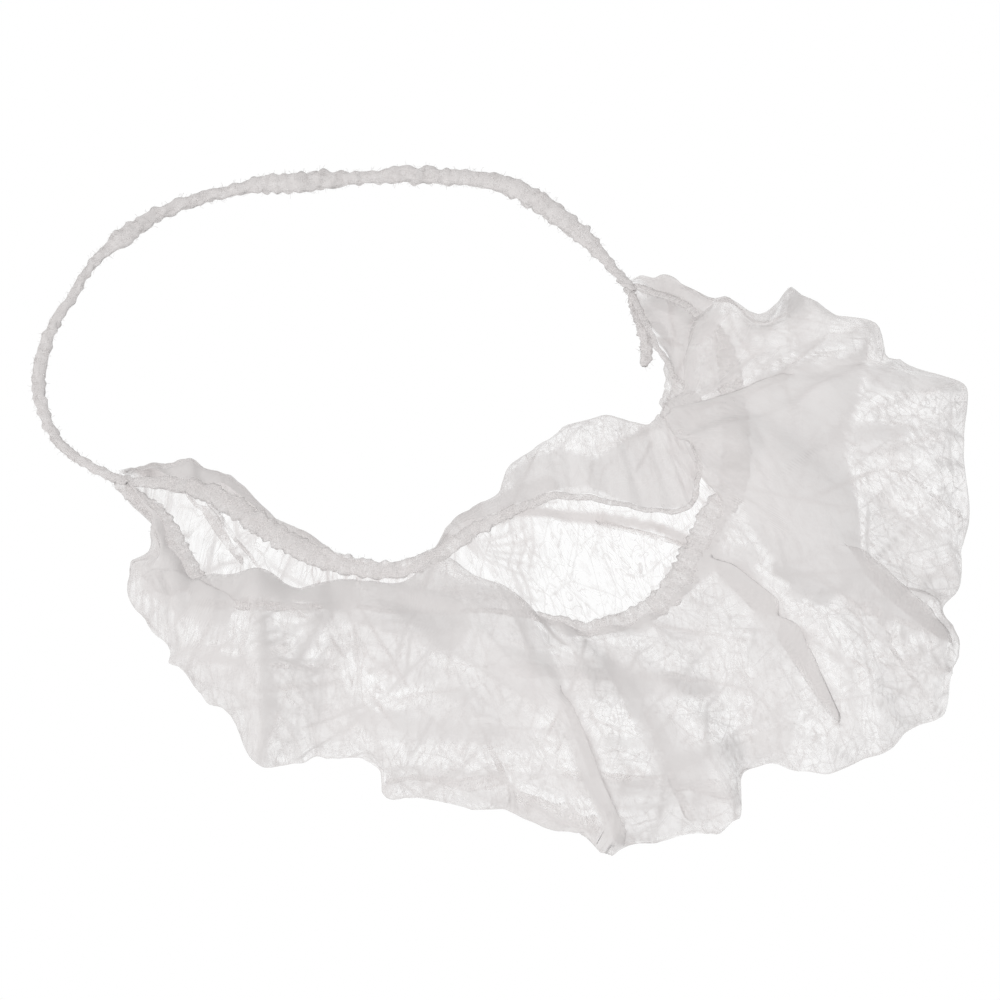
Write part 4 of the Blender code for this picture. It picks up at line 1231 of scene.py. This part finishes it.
class Nodes:
    """A short way to write the node tree of a material."""

    def __init__(self, name):
        self.material = bpy.data.materials.new(name)
        self.material.use_nodes = True
        self.tree = self.material.node_tree
        self.surface = self.tree.nodes["Principled BSDF"]

    def add(self, kind, inputs=(), **settings):
        """A node with its inputs given by socket name or number, and its first output."""
        node = self.tree.nodes.new("ShaderNode" + kind)
        for key, value in settings.items():
            setattr(node, key, value)
        for socket, value in dict(inputs).items():
            self.put(node.inputs[socket], value)
        return node

    def put(self, socket, value):
        """Links an output to a socket, or sets its value."""
        if isinstance(value, bpy.types.NodeSocket):
            self.tree.links.new(value, socket)
        else:
            socket.default_value = value

    def maths(self, operation, *values, clamp=False):
        """The result of a maths node."""
        return self.add("Math", dict(enumerate(values)), operation=operation, use_clamp=clamp).outputs[0]

    def scaled(self, vector, scale):
        """A vector with each part multiplied."""
        return self.add("VectorMath", {0: vector, 1: scale}, operation="MULTIPLY").outputs[0]

    def added(self, one, two):
        """The sum of two vectors."""
        return self.add("VectorMath", {0: one, 1: two}, operation="ADD").outputs[0]

    def noise(self, vector, scale, detail=2.0, distortion=0.0):
        """Smooth noise from 0 to 1."""
        inputs = {"Vector": vector, "Scale": scale, "Detail": detail, "Distortion": distortion}
        return self.add("TexNoise", inputs).outputs["Fac"]

    def band(self, value, low, high, out_low=0.0, out_high=1.0):
        """A value brought from one range smoothly to another."""
        inputs = {"Value": value, 1: low, 2: high, 3: out_low, 4: out_high}
        return self.add("MapRange", inputs, interpolation_type="SMOOTHSTEP").outputs[0]

    def lines(self, vector, scale, repeats, width, distortion=0.6):
        """Thin wandering lines, 1 on a line and 0 off it, as loose fibres lie."""
        level = self.maths("MULTIPLY", self.noise(vector, scale, 1.0, distortion), repeats)
        near = self.maths("PINGPONG", level, 0.5)
        return self.band(near, 0.0, width, 1.0, 0.0)

    def creases(self, vector, scale, width):
        """Thin straight lines between many-sided facets."""
        inputs = {"Vector": vector, "Scale": scale}
        away = self.add("TexVoronoi", inputs, feature="DISTANCE_TO_EDGE").outputs["Distance"]
        return self.band(away, 0.0, width, 1.0, 0.0)

    def as_fabric(self, colour, alpha, least, most):
        """The material with a dull surface of a colour, and a cover kept between two limits."""
        cover = self.maths("MINIMUM", self.maths("MAXIMUM", alpha, least), most)
        self.put(self.surface.inputs["Alpha"], cover)
        self.surface.inputs["Base Color"].default_value = (*colour, 1.0)
        self.surface.inputs["Roughness"].default_value = FABRIC_ROUGHNESS
        self.surface.inputs["Specular IOR Level"].default_value = FABRIC_SHINE
        return self.material


def fabric_surface(settings, name):
    """Thin white non-woven: wandering fibres, seen through between them, and creases drawn as lines of
    painted shade.
    """
    made = Nodes(name)
    place = made.add("TexCoord").outputs["Object"]
    cloth = made.add("UVMap", uv_map="cloth").outputs["UV"]
    # The cloth's own map shifts the pattern, so that two layers in one place differ
    spot = made.added(place, made.scaled(cloth, (0.30, 0.14, 0.0)))
    long_fibres = made.lines(spot, 80.0, 6.0, 0.12)
    short_fibres = made.lines(made.added(spot, (3.1, 1.7, 0.4)), 150.0, 5.0, 0.15)
    # Crease lines: painted shade along the creases, as added cover and as darker lines where the cloth is
    # dense
    creases = made.maths("MAXIMUM", made.creases(spot, 60.0, 0.035), made.creases(spot, 26.0, 0.016))
    radiating_crease_shade = made.creases(made.scaled(cloth, (30.0, 8.0, 0.0)), 1.0, 0.018)
    mottling = made.noise(made.added(spot, (0.7, 4.1, 2.2)), 330.0, 2.0)
    mottled = made.band(mottling, 0.35, 0.65, -0.09, 0.07)
    # thin and dense: the cloth's cover, and also painted crease shade, painted facet shade and painted
    # highlight lines
    thin = made.add("Attribute", attribute_name="thin").outputs["Fac"]
    dense = made.add("Attribute", attribute_name="dense").outputs["Fac"]
    # Cover of one layer
    broken = made.band(made.noise(spot, 55.0, 1.0), 0.38, 0.58, 0.25, 1.0)
    fibres = made.maths("MULTIPLY", made.maths("MULTIPLY_ADD", long_fibres, 1.3, short_fibres), broken)
    alpha = made.maths("MULTIPLY_ADD", fibres, 0.30, made.maths("ADD", thin, settings.fabric_cover))
    alpha = made.maths("MULTIPLY_ADD", creases, 0.24, made.maths("ADD", alpha, mottled))
    # Where the cloth is dense, less light comes between the fibres, and creases get painted shade as darker
    # lines
    bare = made.maths("SUBTRACT", 1.0, dense)
    seen = made.maths("SUBTRACT", 1.0, made.maths("MULTIPLY", alpha, bare), clamp=True)
    # Painted crease shade, strongest where the cloth is dense
    folds = made.maths("MAXIMUM", made.maths("MULTIPLY", creases, 0.5), radiating_crease_shade)
    rising, falling = made.band(dense, 0.0, 0.25, -0.14, -0.46), made.band(dense, 0.4, 0.7, 1.0, 0.2)
    crease_shaded = made.maths("ADD", made.maths("MULTIPLY", folds, made.maths("MULTIPLY", rising, falling)), 1.0)
    through = made.maths("MULTIPLY", made.maths("MULTIPLY", seen, bare), crease_shaded)
    return made.as_fabric(settings.fabric_colour, made.maths("SUBTRACT", 1.0, through), 0.04, 0.97)


def gathered_surface(settings, name, cover, fineness):
    """Non-woven drawn together on elastic: dense, with streaks along it and small open spots."""
    made = Nodes(name)
    cloth = made.add("UVMap", uv_map="cloth").outputs["UV"]
    place = made.add("TexCoord").outputs["Object"]
    streaks = made.noise(made.scaled(cloth, (110.0 * fineness, 420.0, 0.0)), 1.0, 3.0, 0.8)
    gathers = made.noise(made.scaled(cloth, (480.0 * fineness, 90.0, 0.0)), 1.0, 2.0, 0.5)
    fibres = made.lines(place, 170.0, 6.0, 0.15)
    specks = made.band(made.noise(place, 620.0, 1.0), 0.38, 0.62, -0.5, 0.5)
    alpha = made.band(streaks, 0.30, 0.62, cover - 0.30, cover)
    alpha = made.maths("MULTIPLY_ADD", made.band(gathers, 0.38, 0.62, -0.5, 0.5), 0.36, alpha)
    alpha = made.maths("MULTIPLY_ADD", specks, 0.22, alpha)
    alpha = made.maths("MULTIPLY_ADD", fibres, 0.12, alpha)
    height = made.maths("MULTIPLY_ADD", gathers, 0.6, streaks)
    bump = made.add("Bump", {"Strength": 0.5, "Distance": 0.0008, "Height": height})
    made.put(made.surface.inputs["Normal"], bump.outputs[0])
    return made.as_fabric(settings.fabric_colour, alpha, 0.10, 0.98)


class CoverSettings(bpy.types.PropertyGroup):
    """Sizes and colours of the cover."""

    fabric_colour: FloatVectorProperty(
        name="Fabric colour", description="Colour of the non-woven fabric",
        subtype="COLOR", size=3, min=0.0, max=1.0, default=(0.685, 0.660, 0.654),
    )
    fabric_cover: FloatProperty(
        name="Fabric cover", description="Share of one layer that its fibres fill",
        subtype="FACTOR", min=0.0, max=1.0, default=0.20,
    )
    layer_gap: FloatProperty(
        name="Layer gap", description="Room between the layers of a pleat",
        subtype="DISTANCE", unit="LENGTH", min=0.0, default=0.0011,
    )
    crumple_depth: FloatProperty(
        name="Crumple depth", description="Most height of the small creases in the fabric",
        subtype="DISTANCE", unit="LENGTH", min=0.0, default=0.0016,
    )
    rim_width: FloatProperty(
        name="Rim width", description="Width of the gathered edge, where its breadth is 1",
        subtype="DISTANCE", unit="LENGTH", min=0.0, default=0.0060,
    )
    gather_pitch: FloatProperty(
        name="Gather pitch", description="Distance from gather to gather along elastic",
        subtype="DISTANCE", unit="LENGTH", min=0.0005, default=0.0026,
    )
    flat_width: FloatProperty(
        name="Flat width", description="Width of the sheet before its ends are gathered",
        subtype="DISTANCE", unit="LENGTH", min=0.0, default=0.457,
    )
    flat_depth: FloatProperty(
        name="Flat depth", description="Depth of the sheet before it is folded",
        subtype="DISTANCE", unit="LENGTH", min=0.0, default=0.380,
    )
    columns: IntProperty(name="Columns", description="Mesh columns of the pouch", min=8, default=470)
    rows: IntProperty(name="Rows", description="Mesh rows of the pouch", min=8, default=206)
    seed: IntProperty(name="Seed", description="Seed of the random crumple", default=7)


class StageSettings(bpy.types.PropertyGroup):
    """The table, the light and the camera."""

    lens: FloatProperty(name="Lens", description="Focal length in millimetres", min=1.0, default=500.0)
    distance: FloatProperty(
        name="Distance", description="Distance from the camera to the cover",
        subtype="DISTANCE", unit="LENGTH", min=0.1, default=5.32,
    )
    elevation: FloatProperty(
        name="Elevation", description="Angle of the view above the table",
        subtype="ANGLE", unit="ROTATION", default=VIEW_RISE,
    )
    table_size: FloatProperty(
        name="Table size", description="Side of the table",
        subtype="DISTANCE", unit="LENGTH", min=0.5, default=14.0,
    )
    sky: FloatProperty(
        name="Sky", description="Brightness of the light from all round",
        min=0.0, default=0.60,
    )
    lamp: FloatProperty(
        name="Lamp", description="Brightness of the light from above",
        min=0.0, default=0.45,
    )
    bounce: FloatProperty(
        name="Bounce", description="Brightness of the light that the table throws back",
        min=0.0, default=0.30,
    )


def sheet_place():
    """The CAD sheet in its own place, and the shift to where its node lies in the frame."""
    grid = pouch_grid()
    shift = np.array(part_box("pouch")[0]) - grid.min(axis=(0, 1))
    shift[2] = 0.0
    return grid, shift


class COVER_OT_stage(bpy.types.Operator):
    """Adds the table, the light and the camera"""

    bl_idname = "cover.stage"
    bl_label = "Table, light and camera"

    def execute(self, context):
        settings = context.scene.cover_stage
        scene = context.scene
        half = settings.table_size / 2
        corners = [(-half, -half, 0.0), (half, -half, 0.0), (half, half, 0.0), (-half, half, 0.0)]
        table = Nodes("white_table")
        for socket, value in (
            ("Base Color", (0.0, 0.0, 0.0, 1.0)),
            ("Specular IOR Level", 0.0),
            ("Emission Color", (1.0, 1.0, 1.0, 1.0)),
            ("Emission Strength", 1.0),
        ):
            table.surface.inputs[socket].default_value = value
        floor = made_mesh("table", corners, [(0, 1, 2, 3)], table.material)
        world = bpy.data.worlds.new("white_room")
        world.use_nodes = True
        world.node_tree.nodes["Background"].inputs["Color"].default_value = (1.0, 1.0, 1.0, 1.0)
        world.node_tree.nodes["Background"].inputs["Strength"].default_value = settings.sky
        scene.world = world
        for name, strength, turn in (
            ("soft_light", settings.lamp, LAMP_TURN),
            ("table_bounce", settings.bounce, BOUNCE_TURN),
        ):
            lamp = bpy.data.lights.new(name, "SUN")
            lamp.angle = LAMP_SPREAD
            lamp.energy = math.pi * strength
            lamp.use_shadow = False
            light = bpy.data.objects.new(name, lamp)
            light.rotation_euler = turn
            scene.collection.objects.link(light)
        camera = bpy.data.cameras.new("camera")
        camera.lens = settings.lens
        camera.sensor_width = SENSOR_WIDTH
        camera.clip_start, camera.clip_end = NEAR_CLIP, FAR_CLIP
        view = bpy.data.objects.new("camera", camera)
        rise = settings.elevation
        _, shift = sheet_place()
        aim = np.array(AIM) + shift
        view.location = aim + settings.distance * np.array([0.0, -math.cos(rise), math.sin(rise)])
        view.rotation_euler = (math.pi / 2 - rise, 0.0, 0.0)
        scene.collection.objects.link(view)
        scene.camera = view
        scene.view_settings.view_transform = "Standard"
        scene.cycles.transparent_max_bounces = LAYERS_SEEN
        scene.cycles.diffuse_bounces = LIGHT_BOUNCES
        return {"FINISHED"}


def cloth_places(grid, columns, rows):
    """Fractional stations and rows of an even mesh over the sheet."""
    steps = np.linalg.norm(np.diff(grid, axis=0), axis=2).mean(axis=1)
    run = np.r_[0.0, np.cumsum(steps)]
    even = np.interp(np.linspace(0.0, run[-1], columns), run, np.arange(float(len(grid))))
    return np.meshgrid(even, np.linspace(0.0, grid.shape[1] - 1, rows), indexing="ij")


def creased_inward(points, inward, t, s, rim_away, settings):
    """How far each place lies inwards with its crumple and rim pleats, and the lines of the creases, for
    painted shade.
    """
    small, creased = crumple(points, settings.seed, settings.crumple_depth)
    pleats = value_noise(RIM_PLEATS[0] * t, RIM_PLEATS[1] * s, 3)
    small += RIM_PLEAT_DEPTH * pleats * np.exp(-rim_away / RIM_PLEAT_REACH)
    under = np.clip(NEAR_TABLE - points[..., 2], 0.0, NEAR_TABLE) / NEAR_TABLE
    inward = inward + small * (1.0 - under) + np.abs(small) * under
    return inward * smooth(rim_away, 0.0, RIM_HELD), creased


def add_cover(piece, points, shown, facing, t, s, rim_away, end_away, creased):
    """Attributes for the cover: thin is what one layer adds or lacks, dense is the share filled anyway;
    both also hold painted crease shade, and dense holds painted facet shade and painted highlight lines.
    """
    streaks = value_noise(RIM_STREAKS[0] * t, RIM_STREAKS[1] * s, 11) * np.exp(-rim_away / RIM_DENSE_REACH)
    streaks += value_noise(END_STREAKS[0] * t, END_STREAKS[1] * s, 12) * np.exp(-end_away / END_DENSE_REACH)
    clouds = np.zeros_like(t)
    for amount, scale, slide, seed in CLOUDS:
        clouds += amount * value_noise(points[..., 0] * scale, points[..., 1] * scale + slide * s, seed)
    # Painted shade along the crumple creases, added to the cover
    clouds += CREASE_SHADE * creased
    attribute(piece, "thin", clouds + STREAK_COVER * streaks + cover_spots(shown, facing))
    # Layers of cloth, and also painted shade of creases and facets and painted highlight lines along fold
    # edges
    left_open = 1.0 - bunched(shown, facing)
    for amount, share in (
        (RIM_DENSE, np.exp(-rim_away / RIM_DENSE_REACH)),
        (END_DENSE, np.exp(-end_away / END_DENSE_REACH)),
        (EDGE_DENSE, np.exp(-((facing / EDGE_DENSE_REACH) ** 2))),
    ):
        left_open *= 1.0 - amount * share
    attribute(piece, "dense", (1.0 - left_open) * smooth(end_away, 0.0, END_FADE))


class COVER_OT_pouch(bpy.types.Operator):
    """Adds the gathered pouch"""

    bl_idname = "cover.pouch"
    bl_label = "Pouch"

    def execute(self, context):
        settings = context.scene.cover
        grid, shift = sheet_place()
        grid = with_ends(grid)
        last_a, last_b = grid.shape[0] - 1, grid.shape[1] - 1
        a, b = cloth_places(grid, settings.columns, settings.rows)
        t, s = a / last_a, b / last_b
        rim_away = np.minimum(b, last_b - b) / last_b
        end_away = np.minimum(a, last_a - a) / last_a
        moved_a, moved_b, inward = folded(grid, a, b, settings.layer_gap)
        points = on_sheet(grid, moved_a, moved_b)
        outward = on_sheet(normals(grid), moved_a, moved_b)
        outward /= np.maximum(np.linalg.norm(outward, axis=2, keepdims=True), 1e-6)
        inward, creased = creased_inward(points, inward, t, s, rim_away, settings)
        shown, facing = in_view(points), to_viewer(outward)
        points = outline_drawn(points - inward[..., None] * outward, shown)
        points[..., 2] = np.maximum(points[..., 2], CLOTH_LIFT)
        surface = fabric_surface(settings, "nonwoven_fabric")
        piece = made_mesh("pouch_fabric", points + shift, quads(*a.shape), surface)
        cloth_map(piece, t, s)
        add_cover(piece, points, shown, facing, t, s, rim_away, end_away, creased)
        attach(piece, "root")
        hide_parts("pouch")
        return {"FINISHED"}


def band_mesh(name, path, width, height, pitch, depth, surface, seed):
    """A closed gathered band along a path: a flat tube with wrinkles that run round it."""
    rng = np.random.default_rng(seed)
    samples = along(path, np.linspace(0, 1, BAND_SAMPLES))
    length = np.linalg.norm(np.diff(samples, axis=0), axis=1).sum()
    stations = int(length / pitch * BAND_STATIONS)
    share = np.linspace(0.0, 1.0, stations)
    centres = along(path, share)
    ahead = np.gradient(centres, axis=0)
    ahead /= np.linalg.norm(ahead, axis=1, keepdims=True)
    aside = np.cross(ahead, (0.0, 0.0, 1.0))
    aside /= np.linalg.norm(aside, axis=1, keepdims=True)
    above = np.cross(aside, ahead)
    angle = math.tau * (np.arange(BAND_SIDES) + 0.5) / BAND_SIDES
    wrinkle = np.zeros((stations, BAND_SIDES))
    for _ in range(BAND_WAVES):
        waves = length / (pitch * rng.uniform(*BAND_WAVE_LENGTHS))
        turns = rng.choice(BAND_TURNS)
        swells, first = rng.uniform(*BAND_SWELLS), rng.uniform(*BAND_SWELL_STARTS)
        swell = 0.5 + 0.5 * np.sin(math.tau * share * swells + first)
        phase = rng.uniform(0, math.tau)
        wave = np.sin(math.tau * waves * share[:, None] + turns * angle + phase)
        wrinkle += depth * rng.uniform(*BAND_WAVE_DEPTHS) * swell[:, None] * wave
    ends = np.minimum(1.0, np.minimum(share, 1.0 - share) * length / BAND_END)
    size = (1.0 + wrinkle) * (BAND_END_SIZE + (1.0 - BAND_END_SIZE) * np.sqrt(ends))[:, None]
    chord = np.r_[0.0, np.cumsum(np.linalg.norm(np.diff(path, axis=0), axis=1))]
    at = chord / chord[-1] if len(width) == len(path) else np.linspace(0, 1, len(width))
    across = np.cos(angle) * np.interp(share, at, width)[:, None] / 2 * size
    up = np.sin(angle) * np.interp(share, at, height)[:, None] / 2 * size
    rings = centres[:, None] + across[..., None] * aside[:, None] + up[..., None] * above[:, None]
    faces = quads(stations, BAND_SIDES, closed=True)
    faces.append(tuple(reversed(range(BAND_SIDES))))
    faces.append(tuple((stations - 1) * BAND_SIDES + j for j in range(BAND_SIDES)))
    piece = made_mesh(name, rings, faces, surface)
    round_it, along_it = np.meshgrid(np.arange(BAND_SIDES) / BAND_SIDES, share * length, indexing="xy")
    cloth_map(piece, along_it, round_it * BAND_ROUND)
    return piece


def fibre_tree():
    """Geometry Nodes that strew short bent fibres over a piece."""
    tree = bpy.data.node_groups.new("loose_fibres", "GeometryNodeTree")
    tree.interface.new_socket("Geometry", in_out="OUTPUT", socket_type="NodeSocketGeometry")
    for label, kind in (
        ("Geometry", "Geometry"),
        ("Density", "Float"),
        ("Length", "Float"),
        ("Thickness", "Float"),
        ("Seed", "Int"),
        ("Material", "Material"),
    ):
        tree.interface.new_socket(label, in_out="INPUT", socket_type="NodeSocket" + kind)

    def add(kind, links=(), **values):
        node = tree.nodes.new(kind)
        for key, value in values.items():
            setattr(node, key, value)
        for socket, value in dict(links).items():
            if isinstance(value, bpy.types.NodeSocket):
                tree.links.new(value, node.inputs[socket])
            else:
                node.inputs[socket].default_value = value
        return node

    given = add("NodeGroupInput").outputs
    scatter = add("GeometryNodeDistributePointsOnFaces", {
        "Mesh": given["Geometry"], "Density": given["Density"], "Seed": given["Seed"],
    })
    # One fibre of unit length, which starts inside the surface and bends over
    thread = add("GeometryNodeCurveQuadraticBezier", {
        "Resolution": 4, "Start": (0.0, 0.0, -0.05),
        "Middle": (0.10, 0.05, 0.55), "End": (0.60, -0.10, 0.80),
    })
    profile = add("GeometryNodeCurvePrimitiveCircle", {"Resolution": 3, "Radius": given["Thickness"]})
    fibre = add("GeometryNodeCurveToMesh", {
        "Curve": thread.outputs[0], "Profile Curve": profile.outputs[0], "Fill Caps": True,
    })
    size = add("FunctionNodeRandomValue", {2: 0.4, 3: 1.0, "Seed": given["Seed"]}, data_type="FLOAT")
    scale = add("ShaderNodeMath", {0: size.outputs[1], 1: given["Length"]}, operation="MULTIPLY")
    placed = add("GeometryNodeInstanceOnPoints", {
        "Points": scatter.outputs["Points"], "Instance": fibre.outputs[0],
        "Rotation": scatter.outputs["Rotation"], "Scale": scale.outputs[0],
    })
    turn = add("FunctionNodeRandomValue", {
        0: (-0.9, -0.9, 0.0), 1: (0.9, 0.9, math.tau), "Seed": given["Seed"],
    }, data_type="FLOAT_VECTOR")
    turned = add("GeometryNodeRotateInstances", {
        "Instances": placed.outputs[0], "Rotation": turn.outputs[0],
    })
    both = add("GeometryNodeJoinGeometry", {0: given["Geometry"]})
    tree.links.new(turned.outputs[0], both.inputs[0])
    real = add("GeometryNodeRealizeInstances", {0: both.outputs[0]})
    dressed = add("GeometryNodeSetMaterial", {"Geometry": real.outputs[0], "Material": given["Material"]})
    add("NodeGroupOutput", {0: dressed.outputs[0]})
    return tree


def with_fibres(piece, surface, density, length, seed):
    """The piece with short loose fibres on it, so many to the square metre, as one plain mesh."""
    tree = bpy.data.node_groups.get("loose_fibres") or fibre_tree()
    added = piece.modifiers.new("fibres", "NODES")
    added.node_group = tree
    named = {item.name: item.identifier for item in tree.interface.items_tree if item.in_out == "INPUT"}
    for label, value in (
        ("Density", density),
        ("Length", length),
        ("Thickness", FIBRE_RADIUS / length),
        ("Seed", seed),
        ("Material", surface),
    ):
        added[named[label]] = value
    evaluated = piece.evaluated_get(bpy.context.evaluated_depsgraph_get())
    mesh = bpy.data.meshes.new_from_object(evaluated)
    piece.modifiers.remove(added)
    piece.data = mesh
    return piece


def place_on_table(piece, shift):
    """Moves a piece's mesh to where the CAD cover lies, and off the table."""
    points = np.empty(3 * len(piece.data.vertices))
    piece.data.vertices.foreach_get("co", points)
    points = points.reshape(-1, 3) + shift
    points[:, 2] = np.maximum(points[:, 2], GATHERED_LIFT)
    piece.data.vertices.foreach_set("co", points.ravel())
    piece.data.update()


class COVER_OT_rims(bpy.types.Operator):
    """Adds the two gathered elastic edges of the mouth"""

    bl_idname = "cover.rims"
    bl_label = "Gathered edges"

    def execute(self, context):
        settings = context.scene.cover
        grid, shift = sheet_place()
        surface = gathered_surface(settings, "gathered_fabric", cover=0.70, fineness=1.0)
        for name, node, edge, side, breadths in (
            ("rim_back_gathers", "rim_back", 0, -1.0, RIM_BACK_BREADTHS),
            ("rim_front_gathers", "rim_front", POUCH_ACROSS - 1, 1.0, RIM_FRONT_BREADTHS),
        ):
            path = rim_line(grid, edge, side)
            wide = settings.rim_width * np.array(breadths)
            places = np.linspace(0, 1, len(path))[2:-2, None]
            away = path[2:-2] - grid[:, edge]
            gap = np.linalg.norm(away, axis=1, keepdims=True)
            half = np.interp(places, np.linspace(0, 1, len(wide)), wide) / 2
            path[2:-2] = grid[:, edge] + away * np.minimum(1.0, RIM_TOUCH * half / gap)
            piece = band_mesh(
                name, path, wide, wide * RIM_FLATNESS,
                pitch=settings.gather_pitch, depth=0.08, surface=surface, seed=edge,
            )
            piece = with_fibres(piece, surface, density=160000.0, length=0.0020, seed=edge)
            place_on_table(piece, shift)
            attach(piece, "root")
            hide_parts(node)
        return {"FINISHED"}


class COVER_OT_head_loop(bpy.types.Operator):
    """Adds the strap that goes over the head"""

    bl_idname = "cover.head_loop"
    bl_label = "Head loop"

    def execute(self, context):
        settings = context.scene.cover
        _, shift = sheet_place()
        places = [at_height(across, down, height) for across, down, height, _ in STRAP_COURSE]
        ends = [place + STRAP_TUCK * into for place, into in (joint(0), joint(1))]
        path = np.vstack([ends[0], places, ends[1]])
        breadths = [STRAP_END_BREADTH, *(row[3] for row in STRAP_COURSE), STRAP_END_BREADTH]
        wide = PIXEL / STRAP_SEEN * np.array(breadths)
        surface = gathered_surface(settings, "strap_fabric", cover=0.94, fineness=0.7)
        piece = band_mesh(
            "head_loop_strap", path, wide, STRAP_FLATNESS * wide,
            pitch=settings.gather_pitch, depth=0.10, surface=surface, seed=5,
        )
        piece = with_fibres(piece, surface, density=260000.0, length=0.0022, seed=5)
        place_on_table(piece, shift)
        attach(piece, "root")
        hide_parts("head_loop")
        return {"FINISHED"}


class COVER_OT_elastic_tail(bpy.types.Operator):
    """Adds the loose end of the elastic"""

    bl_idname = "cover.elastic_tail"
    bl_label = "Loose end of the elastic"

    def execute(self, context):
        settings = context.scene.cover
        _, shift = sheet_place()
        path = np.array([at_height(across, down, height) for across, down, height, _ in TAIL_COURSE])
        wide = PIXEL * np.array([row[3] for row in TAIL_COURSE])
        surface = gathered_surface(settings, "elastic_surface", cover=0.90, fineness=1.5)
        piece = band_mesh(
            "elastic_tail_end", path, wide, TAIL_FLATNESS * wide,
            pitch=TAIL_PITCH, depth=0.10, surface=surface, seed=9,
        )
        piece = with_fibres(piece, surface, density=300000.0, length=0.0022, seed=9)
        place_on_table(piece, shift)
        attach(piece, "root")
        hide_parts("elastic_tail")
        return {"FINISHED"}


class COVER_PT_panel(bpy.types.Panel):
    """Lists the pieces of the cover"""

    bl_idname = "COVER_PT_panel"
    bl_label = "Beard Cover"
    bl_space_type = "VIEW_3D"
    bl_region_type = "UI"
    bl_category = "Beard Cover"

    def draw(self, context):
        for made in OPERATORS:
            self.layout.operator(made.bl_idname)
        for group in (context.scene.cover, context.scene.cover_stage):
            for key in group.__annotations__:
                self.layout.prop(group, key)


OPERATORS = (COVER_OT_stage, COVER_OT_pouch, COVER_OT_rims, COVER_OT_head_loop, COVER_OT_elastic_tail)
CLASSES = (CoverSettings, StageSettings, *OPERATORS, COVER_PT_panel)


def register():
    """Adds the classes and their settings."""
    for made in CLASSES:
        bpy.utils.register_class(made)
    bpy.types.Scene.cover = PointerProperty(type=CoverSettings)
    bpy.types.Scene.cover_stage = PointerProperty(type=StageSettings)


def unregister():
    """Takes the settings and the classes away again."""
    del bpy.types.Scene.cover_stage
    del bpy.types.Scene.cover
    for made in reversed(CLASSES):
        bpy.utils.unregister_class(made)


def main():
    """Builds the cover and its stage."""
    register()
    bpy.ops.cover.stage()
    bpy.ops.cover.pouch()
    bpy.ops.cover.rims()
    bpy.ops.cover.head_loop()
    bpy.ops.cover.elastic_tail()


if __name__ == "__main__":
    main()
